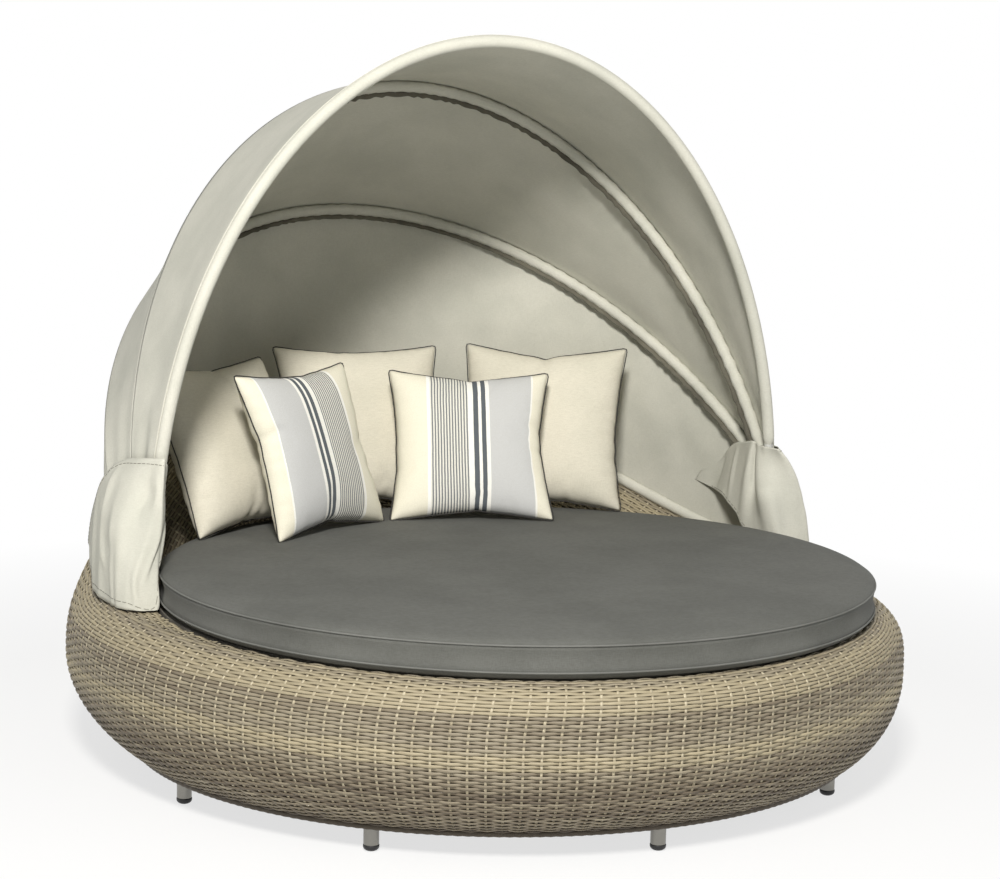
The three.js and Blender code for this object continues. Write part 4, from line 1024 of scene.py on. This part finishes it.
class DaybedCushions(bpy.types.Operator):
    """Make the five loose cushions from sewn covers blown up by their filling, with piping in the seams"""
    bl_idname = "daybed.cushions"
    bl_label = "Cushions"

    def execute(self, context):
        look, tree = materials(), cord_tree()
        for number, (name, (size, thickness, x, y, turn, lean)) in enumerate(CUSHIONS.items()):
            piece, seam = cushion_mesh(name + "_cover", size, thickness)
            inflate(piece, size, thickness, 11 + number)
            kind = "striped" if name.startswith("striped") else "plain"
            stripes = "striped_mirrored" if name.endswith("left") else "striped"
            cover = stripes if kind == "striped" else "cushion"
            border = read_points(piece.data)[seam]
            smooth = (np.roll(border, 1, 0) + border * 2 + np.roll(border, -1, 0)) / 4 / MM
            edges = [(i, (i + 1) % len(seam)) for i in range(len(seam))]
            piping = through_tree(mesh_piece(name + "_piping", smooth, (), edges), tree, {
                "Cord Radius": PIPING[kind] * MM, "Cord Material": look["piping"]})
            dress(finished(piece, [("SUBSURF", {"levels": 1, "render_levels": 1})]), look[cover])
            place_cushion((piece, piping), x, y, turn, lean, size)
            carried(piece, "base", name)
            carried(piping, "base")
        return {"FINISHED"}


# Canopy

# Angles from the pivots' line at which panels, ruched sleeves, the front hem and the ruffles start
PANEL_START, REAR_PANEL_START = math.radians(4.5), math.radians(8)
SLEEVE_START, HEM_START, RUFFLE_START = math.radians(5.2), math.radians(7.6), math.radians(8)
# The canvas lies this far over the hoops' surface
CLOTH_LIFT = 4.5
# How deep the cloth gathers at the hoops' ends, how quickly that fades, and how deep its finest creases are
END_GATHER, GATHER_FADE, FINE_CREASE = 6.5, 4.5, 0.8
# Threads of the panels' grid along the hoops and across them
PANEL_STEPS, PANEL_THREADS = 120, 26


def edge_point(kind, turn, swell):
    if kind == "rail":
        return rail_point(math.pi / 2 + turn, swell - 10)
    return hoop_point(kind, turn, swell)


def panel_grid(near, far, start, seed, sag):
    """Canvas from one hoop to the next, over the outside of both, with its sag, pulls and fine creases."""
    rng = random.Random(seed)
    pulls = [(rng.uniform(0, 1), rng.uniform(0, 1), rng.uniform(0.02, 0.07), rng.uniform(0.08, 0.3),
              rng.uniform(-3.2, 3.2), rng.uniform(-0.9, 0.9)) for _ in range(26)]
    grid = np.zeros((PANEL_STEPS + 1, PANEL_THREADS + 1, 3))
    for i in range(PANEL_STEPS + 1):
        turn = between(start, math.pi - start, i / PANEL_STEPS)
        a, b = (edge_point(kind, turn, HOOP_RADIUS + CLOTH_LIFT) for kind in (near, far))
        ends = math.sin(turn)
        gather = END_GATHER * math.exp(-ends * GATHER_FADE)
        for k in range(PANEL_THREADS + 1):
            s = k / PANEL_THREADS
            p = a + (b - a) * s
            inward = np.array([-p[0] * 0.35, PIVOT_Y - p[1], PIVOT_Z - p[2]])
            wave = 2 * math.pi * (1.6 * s + 0.15 * seed) + 1.5 * math.sin(turn * 3)
            depth = sag * ends + gather * math.sin(wave)
            for across, along, wide, tall, deep, slant in pulls:
                u, v = i / PANEL_STEPS - across, s - along
                depth += deep * math.exp(-((u + slant * v * 0.2) / wide) ** 2 - (v / tall) ** 2)
            depth += FINE_CREASE * math.sin(i * 0.9 + s * 9)
            grid[i, k] = p + inward / np.linalg.norm(inward) * depth * math.sin(math.pi * s)
    return grid


def fold_weights(piece):
    """Reads the points of a piece; nothing is kept from them."""
    co = read_points(piece.data)


def square_to(hoop):
    """Direction square to a hoop's plane."""
    plane = HOOPS[hoop][2]
    return (0, -math.sin(plane), math.cos(plane))


class DaybedCanopy(bpy.types.Operator):
    """Make the canopy's three canvas panels and the sleeves round its hoops and rear rail"""
    bl_idname = "daybed.canopy"
    bl_label = "Canopy"

    def execute(self, context):
        look, cloth = materials(), context.scene.daybed_cloth
        for label, near, far, seed in (("front", "front", "second", 2), ("middle", "second", "third", 5),
                                       ("rear", "third", "rail", 9)):
            railed = far == "rail"
            grid = panel_grid(near, far, REAR_PANEL_START if railed else PANEL_START, seed, cloth.sag / MM)
            piece = cloth_sheet(f"canopy_canvas_{label}", grid, CANVAS_THICKNESS, look["canvas"])
            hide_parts(f"canopy_panel_{label}")
            declare_sheet(grid)
            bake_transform(piece)
            fold_weights(piece)
        radius = cloth.sleeve / MM
        self.hem(radius, look)
        for hoop in ("second", "third"):
            self.sleeve(hoop, radius, look)
            self.ruffle(hoop, radius, look)
        self.rail_sleeve(look)
        return {"FINISHED"}

    def tube(self, name, hoop, start, steps, radius, swell, look):
        """Canvas tube round a hoop, swell(i) times as wide as its radius."""
        path = [hoop_point(hoop, between(start, math.pi - start, i / steps)) for i in range(steps + 1)]
        piece = swept(name, path, circle(radius, 18), up=square_to(hoop), radius=swell)
        carried(dress(piece, look["canvas"]), hoop)

    def hem(self, radius, look):
        """Smooth hem round the front hoop, with rounded ends."""
        steps, rounding = 200, 0.012

        def swell(i):
            short = 1.0 - min(min(i, steps - i) / steps / rounding, 1.0)
            return 1.02 * math.sqrt(max(1.0 - short ** 2, 0.02))

        self.tube("canopy_hem_front", "front", HEM_START, steps, radius, swell, look)

    def sleeve(self, hoop, radius, look):
        """Ruched sleeve: it swells and shrinks along the hoop and tapers to its ends."""
        name, steps = f"canopy_sleeve_{hoop}", 420
        rng = random.Random(len(name))
        shift = [rng.uniform(-1, 1) for _ in range(steps + 1)]

        def swell(i):
            ruched = 1.0 + 0.055 * math.sin(i * 1.15 + 1.4 * math.sin(i * 0.13)) + 0.03 * shift[i]
            return ruched * (1.0 - 0.25 * math.exp(-min(i, steps - i) / steps * 60))

        self.tube(name, hoop, SLEEVE_START, steps, radius, swell, look)

    def ruffle(self, hoop, radius, look):
        """Gathered free edge of a sleeve, its canvas dark with painted shade: it waves along the hoop on the
        side that faces the seat.
        """
        steps, away, rows = 900, np.array(square_to(hoop), float), []
        for i in range(steps + 1):
            turn = between(RUFFLE_START, math.pi - RUFFLE_START, i / steps)
            middle, inside = hoop_point(hoop, turn), hoop_point(hoop, turn, -10)
            inward = (inside - middle) / np.linalg.norm(inside - middle)
            wave = math.sin(i * 0.47 + 2.2 * math.sin(i * 0.061) + 1.1 * math.sin(i * 0.173))
            root = middle + inward * (radius * 0.80) + away * (radius * -0.55)
            drop = inward * 0.86 - away * 0.5
            rows.append([root] + [root + drop * fall + away * wave * swing
                                  for fall, swing in ((6, 1.6), (13 + 3.2 * wave, 3.0))])
        grid = np.array(rows)
        piece = cloth_sheet(f"canopy_sleeve_{hoop}_edge", grid, 1.2, look["ruffle"])
        carried(piece, hoop)
        declare_sheet(grid)

    def rail_sleeve(self, look):
        """Light sleeve round the rear rail, with small uneven swellings."""
        steps, past = 260, math.radians(1)
        path = [rail_point(between(RAIL_START - past, 2 * math.pi - RAIL_START + past, i / steps), 1.5)
                for i in range(steps + 1)]
        rng = random.Random(4)
        shift = [rng.uniform(-1, 1) for _ in range(steps + 1)]
        piece = swept("rear_rail_sleeve", path, circle(15.5, 18),
                      radius=lambda i: 1 + 0.02 * shift[i] + 0.02 * math.sin(i * 0.7))
        carried(dress(piece, look["canvas"]), "base")


# Skirts

# Lines of each skirt from its top to its hem, from the rear edge of the inner layer round the front edge to
# the rear edge of the outer layer, as on the right-hand side; the left-hand one is mirrored
SKIRT_INNER = [
    [(874, 410, 620), (874, 416, 613), (873, 422, 606), (872, 428, 598), (871, 434, 590)],
    [(892, 338, 656), (890, 343, 637), (887, 348, 618), (884, 352, 598), (880, 356, 578)],
    [(890, 285, 700), (886, 290, 669), (881, 295, 639), (875, 300, 607), (868, 303, 575)],
    [(880, 232, 722), (875, 238, 685), (869, 245, 648), (862, 250, 610), (854, 253, 572)],
    [(868, 180, 732), (862, 185, 690), (856, 190, 645), (850, 195, 600), (845, 198, 555)],
    [(855, 135, 740), (850, 138, 690), (846, 142, 640), (843, 146, 588), (841, 148, 534)],
    [(846, 92, 748), (842, 94, 695), (839, 96, 640), (838, 98, 570), (840, 100, 498)],
]
SKIRT_OUTER = {
    "right": [
        [(850, 76, 746), (856, 74, 690), (850, 66, 635), (839, 50, 572), (844, 28, 470)],
        [(838, 40, 744), (830, 26, 696), (826, 2, 640), (832, -20, 585), (878, -32, 440)],
        [(850, -30, 742), (880, -36, 700), (910, -40, 640), (936, -38, 565), (962, -34, 428)],
        [(872, 0, 742), (900, 2, 700), (932, 4, 645), (957, 4, 565), (990, 4, 410)],
        [(893, 60, 738), (920, 62, 700), (948, 62, 645), (968, 60, 565), (1004, 60, 402)],
        [(908, 125, 734), (932, 125, 700), (958, 125, 645), (978, 125, 565), (1006, 125, 402)],
        [(922, 185, 724), (938, 188, 688), (958, 190, 635), (978, 190, 560), (1004, 190, 404)],
        [(932, 240, 696), (944, 243, 655), (958, 247, 605), (974, 250, 540), (996, 252, 408)],
        [(928, 320, 640), (936, 324, 605), (946, 328, 565), (956, 332, 515), (970, 335, 424)],
        [(916, 400, 585), (920, 404, 560), (924, 408, 535), (928, 410, 505), (932, 412, 446)],
        [(900, 470, 530), (902, 474, 516), (904, 478, 503), (906, 480, 490), (907, 482, 462)],
        [(886, 530, 496), (884, 534, 489), (882, 538, 482), (881, 541, 476), (880, 545, 468)],
    ],
    "left": [
        [(838, 88, 752), (838, 78, 700), (842, 54, 650), (846, 26, 590), (856, 8, 530)],
        [(844, 30, 764), (847, 22, 712), (851, 2, 658), (858, -12, 598), (872, -24, 520)],
        [(854, -30, 786), (861, -34, 704), (870, -37, 596), (908, -42, 484), (880, -58, 424)],
        [(876, 8, 784), (890, 8, 715), (914, 0, 625), (942, -14, 520), (948, -30, 426)],
        [(894, 60, 778), (922, 60, 712), (954, 52, 625), (960, 44, 520), (959, 38, 425)],
        [(905, 120, 768), (933, 118, 710), (955, 108, 630), (962, 100, 525), (964, 94, 426)],
        [(922, 180, 742), (941, 176, 695), (953, 166, 630), (963, 156, 530), (968, 148, 430)],
        [(934, 235, 700), (942, 236, 655), (949, 232, 590), (955, 226, 510), (958, 220, 434)],
        [(928, 310, 645), (931, 314, 605), (935, 312, 555), (939, 308, 495), (940, 304, 441)],
        [(916, 392, 588), (915, 396, 560), (915, 397, 525), (915, 396, 492), (914, 394, 452)],
        [(902, 465, 532), (900, 469, 518), (899, 472, 503), (897, 475, 488), (893, 478, 468)],
        [(888, 525, 490), (885, 530, 484), (881, 536, 478), (877, 541, 472), (871, 546, 466)],
    ],
}
# Steps from each line of the tables to the next, round a skirt's inner and outer layer, and down it
INNER_STEPS, OUTER_STEPS, DOWN_STEPS = [8] * 7, [10, 10, 12] + [10] * 8, [10] * 4
# Skirts stay this far off the weave, where it is no further than NEAR, and off the middle lines of the hoops,
# which are followed up to an angle from the pivots' line
WEAVE_GAP, NEAR, HOOP_GAP, HOOP_FOLLOWED = 5.0, 60, HOOP_RADIUS + 6.5, 0.45
# Seams: the thread that each follows down the cloth, and the share of the way round where it starts
SEAMS = ((2, 0.46), (-3, 0.05))


def curve_through(points, counts):
    """A smooth line through points of any shape, with counts[i] steps from point i to the next."""
    points = np.asarray(points, float)
    ends = np.concatenate([[2 * points[0] - points[1]], points, [2 * points[-1] - points[-2]]])
    made = []
    for i, count in enumerate(counts):
        a, b, c, d = ends[i:i + 4]
        made += [0.5 * (2 * b + (c - a) * t + (2 * a - 5 * b + 4 * c - d) * t * t
                        + (3 * b - a - 3 * c + d) * t ** 3)
                 for t in np.arange(count) / count]
    return np.array(made + [points[-1]])


def body_search():
    """Points of both faces of the body with their outward sides, ready for a nearest-point search."""
    data = weave_data()
    lines, sides = (np.concatenate([face[which][::3].reshape(-1, 3) for face in data]) for which in (0, 2))
    search = KDTree(len(lines))
    for i, point in enumerate(lines):
        search.insert(point, i)
    search.balance()
    return search, lines, sides


def keep_clear(grid, search, lines, sides):
    """Moves the points of a sheet that would sink into the weave, into a sleeve or into a pivot's nut."""
    bars = np.array([hoop_point(name, turn) for name in HOOPS for turn in np.linspace(0, HOOP_FOLLOWED, 120)]
                    + [(x, PIVOT_Y, PIVOT_Z) for x in NUT_DOME])
    for index in np.ndindex(grid.shape[:2]):
        point = grid[index]
        near = bars[np.argmin(np.sum((bars - point) ** 2, axis=1))]
        away = point - near
        reach = np.linalg.norm(away)
        if reach < HOOP_GAP:
            point = near + away / reach * HOOP_GAP
        _, number, reach = search.find(point)
        depth = float(np.dot(point - lines[number], sides[number]))
        if reach < NEAR and depth < WEAVE_GAP:
            point = point + sides[number] * (WEAVE_GAP - depth)
        grid[index] = point


class DaybedSkirts(bpy.types.Operator):
    """Hang the two canvas skirts that cover the pivots and fall over the ledge and the shoulder"""
    bl_idname = "daybed.skirts"
    bl_label = "Skirts"

    def execute(self, context):
        look, cords, body = materials(), cord_tree(), body_search()
        for word, side, seed in (("left", -1, 21), ("right", 1, 34)):
            across = curve_through(SKIRT_INNER + SKIRT_OUTER[word], INNER_STEPS + OUTER_STEPS)
            grid = curve_through(across.transpose(1, 0, 2), DOWN_STEPS).transpose(1, 0, 2)
            facing = facing_of(grid, (len(grid) - 40, grid.shape[1] // 2), (1, 0, 0))
            self.crease(grid, facing, random.Random(seed))
            keep_clear(grid, *body)
            grid[..., 0] *= side
            skirt = cloth_sheet(f"canopy_skirt_canvas_{word}", grid, CANVAS_THICKNESS, look["canvas"])
            seam = self.seam(f"skirt_seam_{word}", grid, facing * (side, 1, 1), cords, look)
            for piece in (skirt, seam):
                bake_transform(piece)
            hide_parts(f"canopy_skirt_{word}")
            declare_sheet(grid)
        return {"FINISHED"}

    def crease(self, grid, facing, rng):
        """Long folds down the cloth and short slanting pulls near its front edge, none at the top seam."""
        folds = [(rng.uniform(0, 1), rng.uniform(0.008, 0.022),
                  rng.uniform(3.5, 8.5) * rng.choice([1, 1, -0.7]), rng.uniform(0.15, 1.0)) for _ in range(20)]
        pulls = [(rng.uniform(0.45, 0.7), rng.uniform(0.0, 0.75), rng.uniform(0.05, 0.1),
                  rng.uniform(0.02, 0.05), rng.uniform(-5.5, 5.5), rng.uniform(-1.6, 1.6)) for _ in range(26)]
        rows, down = grid.shape[0], grid.shape[1] - 1
        for i, k in np.ndindex(rows, down + 1):
            s, u, depth = k / down, i / rows, 0.0
            for at, wide, deep, centre in folds:
                depth += deep * math.exp(-((u - at - 0.03 * (s - 0.5) * math.sin(at * 40)) / wide) ** 2
                                         - ((s - centre) / 0.45) ** 2)
            for at, centre, wide, tall, deep, slant in pulls:
                a, b = u - at, s - centre
                depth += deep * math.exp(-((a + 0.05 * slant * b) / (wide * 0.25)) ** 2
                                         - ((b - slant * a * 2) / (tall * 2)) ** 2)
            grid[i, k] += facing[i, k] * depth * min(1.0, s * 6)

    def seam(self, name, grid, facing, cords, look):
        """Dashed seam a little below the top edge of the outer layer, and along the hem."""
        points, lift = [], 1.2
        for k, start in SEAMS:
            for i in range(int(start * len(grid)), len(grid) - 2):
                if i % 3:
                    points += [grid[n, k] + facing[n, k] * lift for n in (i, i + 1)]
        edges = [(a, a + 1) for a in range(0, len(points), 2)]
        return through_tree(mesh_piece(name, points, (), edges), cords,
                            {"Cord Radius": 0.0007, "Cord Material": look["thread"]})


# Legs, hoops, frames and fittings

# Half sections in millimetres, radius and height: the tube leg and the domed glide under it
LEG = [(0, 78.7), (17.5, 78.7), (17.5, 15.6), (17.2, 14.6), (16.6, 14.2), (0, 14.2)]
GLIDE = [(0, 14.6), (16.4, 14.6), (17.9, 14.2), (18.3, 13.2), (18.3, 9.6), (17.6, 7.0), (16.2, 4.7),
         (14.0, 2.8), (11.4, 1.3), (8.6, 0.3), (7.4, 0.0), (0, 0.0)]
# Finish of each solid that is carried over, by the start of its name
FINISHES = {"front_hoop": "hoop", "second_hoop": "hoop", "third_hoop": "hoop", "rear_rail": "hoop",
            "basket_frame": "frame", "deck_frame": "frame", "deck_board": "board", "pivot_washer": "glide",
            "pivot_": "steel", "canopy_bracket": "steel", "bracket_screw": "steel", "rail_stud": "steel"}


class DaybedLegs(bpy.types.Operator):
    """Turn the tube legs and their domed glides"""
    bl_idname = "daybed.legs"
    bl_label = "Legs"

    def execute(self, context):
        look = materials()
        for number, angle in enumerate(LEG_ANGLES, 1):
            x, y, _ = ring_point(LEG_RING, math.radians(angle), 0)
            for name, profile, finish, solid in (("tube_leg", LEG, "steel", "leg"),
                                                 ("domed_glide", GLIDE, "glide", "leg_glide")):
                piece = finished(turned(f"{name}_{number}", profile, 48, x, y),
                                 [("BEVEL", {"width": 0.0004, "segments": 2, "limit_method": "ANGLE"})])
                dress(piece, look[finish])
                piece.data.shade_smooth()
                piece.data.set_sharp_from_angle(angle=math.radians(40))
                carried(piece, "base", f"{solid}_{number}")
        return {"FINISHED"}


class DaybedFittings(bpy.types.Operator):
    """Give the carried-over solids their finishes"""
    bl_idname = "daybed.fittings"
    bl_label = "Fittings"

    def execute(self, context):
        look = materials()
        for name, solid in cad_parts.items():
            finish = next((finish for start, finish in FINISHES.items() if name.startswith(start)), None)
            for place in solid.material_slots if finish else ():
                place.material = look[finish]
        return {"FINISHED"}


# Stage

# The camera's angles in degrees, place in metres and lens, as solved from the photograph
AZIMUTH, ELEVATION, ROLL = (math.radians(angle) for angle in (-25.363, 7.711, 1.194))
CAMERA_PLACE, LENS, SENSOR, CLIP_END = (-2.503, -5.366, 1.599), 84.613, 36.0, 200.0
# Soft lights: place, size in metres and power in watts; both look at the middle of the daybed
LIGHTS = {"key_light": ((-2.8, -5.3, 4.9), 1.0, 610), "fill_light": ((4.8, -4.2, 3.2), 4.0, 30)}
LIGHT_TARGET = Vector((0, 0.1, 0.6))
FLOOR_HALF = 40000
LAMP_COLOUR, SKY_COLOUR, SKY_STRENGTH = (1.0, 0.975, 0.94), (0.93, 0.96, 1.0, 1), 0.24
# The floor is this white where the shadow lies, up to the first distance from its middle, and wholly white
# past the second, in metres
SHADOW_WHITE, SHADOW_NEAR, SHADOW_FAR = 0.72, 1.6, 3.2


class DaybedStage(bpy.types.Operator):
    """Lay the floor, hang the lights and set the camera at the photograph's angle"""
    bl_idname = "daybed.stage"
    bl_label = "Stage"

    def execute(self, context):
        scene = context.scene
        scene.view_settings.view_transform = "Standard"
        corners = [(x * FLOOR_HALF, y * FLOOR_HALF, 0) for x, y in ((-1, -1), (1, -1), (1, 1), (-1, 1))]
        floor = mesh_piece("floor", corners, [(0, 1, 2, 3)])
        material, add = new_material("matt_white_floor", "#f4f4f2", 0.95)
        away = add("VectorMath", {0: add("TexCoord")["Object"]}, operation="LENGTH")["Value"]
        far = add("MapRange", {"Value": away, "From Min": SHADOW_NEAR, "From Max": SHADOW_FAR,
                               "To Min": SHADOW_WHITE, "To Max": 1.0})[0]
        white = add("Emission", {"Color": (1, 1, 1, 1), "Strength": 1.0})[0]
        share = add("Math", {0: self.seen(add), 1: far}, operation="MULTIPLY")[0]
        nodes = material.node_tree.nodes
        mix = add("MixShader", {0: share, 1: nodes["Principled BSDF"].outputs[0], 2: white})[0]
        material.node_tree.links.new(mix, nodes["Material Output"].inputs[0])
        dress(floor, material)

        scene.world = bpy.data.worlds.new("plain_sky")
        scene.world.use_nodes = True
        scene.world.node_tree.nodes.clear()
        add = partial(node, scene.world.node_tree)
        soft = add("Background", {"Color": SKY_COLOUR, "Strength": SKY_STRENGTH})[0]
        white = add("Background", {"Color": (1, 1, 1, 1), "Strength": 1.0})[0]
        sky = add("MixShader", {0: self.seen(add, "Is Transmission Ray"), 1: soft, 2: white})[0]
        add("OutputWorld", {0: sky})

        for name, (place, size, power) in LIGHTS.items():
            lamp = bpy.data.lights.new(name, "AREA")
            lamp.size, lamp.energy, lamp.color = size, power, LAMP_COLOUR
            aim = (LIGHT_TARGET - Vector(place)).to_track_quat("-Z", "Y").to_matrix().to_4x4()
            self.hung(name, lamp, Matrix.Translation(place) @ aim)
        back = Vector((math.sin(AZIMUTH) * math.cos(ELEVATION), -math.cos(AZIMUTH) * math.cos(ELEVATION),
                       math.sin(ELEVATION)))
        right = (-back).cross(Vector((0, 0, 1))).normalized()
        up = right.cross(-back)
        across = math.cos(ROLL) * right + math.sin(ROLL) * up
        above = -math.sin(ROLL) * right + math.cos(ROLL) * up
        lens = bpy.data.cameras.new("camera")
        lens.lens, lens.sensor_width, lens.clip_end = LENS, SENSOR, CLIP_END
        turn = Matrix((across, above, back)).transposed().to_4x4()
        scene.camera = self.hung("camera", lens, Matrix.Translation(CAMERA_PLACE) @ turn)
        return {"FINISHED"}

    def seen(self, add, *more):
        """1 for the rays that see white: the camera's, reflected ones and any more that are named."""
        rays = add("LightPath")
        found = rays["Is Camera Ray"]
        for key in ("Is Glossy Ray", *more):
            found = add("Math", {0: found, 1: rays[key]}, operation="MAXIMUM")[0]
        return found

    def hung(self, name, data, matrix):
        piece = bpy.data.objects.new(name, data)
        bpy.context.scene.collection.objects.link(piece)
        piece.matrix_world = matrix
        return piece


class DaybedPanel(bpy.types.Panel):
    bl_idname = "VIEW3D_PT_daybed"
    bl_label = "Round Daybed"
    bl_space_type = "VIEW_3D"
    bl_region_type = "UI"
    bl_category = "Daybed"

    def draw(self, context):
        scene = context.scene
        for group in (scene.daybed_weave, scene.daybed_cloth):
            box = self.layout.box()
            for key in group.bl_rna.properties.keys():
                if key not in ("rna_type", "name"):
                    box.prop(group, key)
        for operator in OPERATORS:
            self.layout.operator(operator.bl_idname)


OPERATORS = (DaybedStage, DaybedWovenBody, DaybedMattress, DaybedCushions, DaybedCanopy, DaybedSkirts,
             DaybedLegs, DaybedFittings)
GROUPS = (DaybedWeave, DaybedCloth)


def register():
    for kind in (*GROUPS, *OPERATORS, DaybedPanel):
        bpy.utils.register_class(kind)
    bpy.types.Scene.daybed_weave = bpy.props.PointerProperty(type=DaybedWeave)
    bpy.types.Scene.daybed_cloth = bpy.props.PointerProperty(type=DaybedCloth)


def unregister():
    del bpy.types.Scene.daybed_cloth
    del bpy.types.Scene.daybed_weave
    for kind in (DaybedPanel, *reversed(OPERATORS), *reversed(GROUPS)):
        bpy.utils.unregister_class(kind)


def main():
    register()
    for operator in OPERATORS:
        group, name = operator.bl_idname.split(".")
        getattr(getattr(bpy.ops, group), name)()


if __name__ == "__main__":
    main()
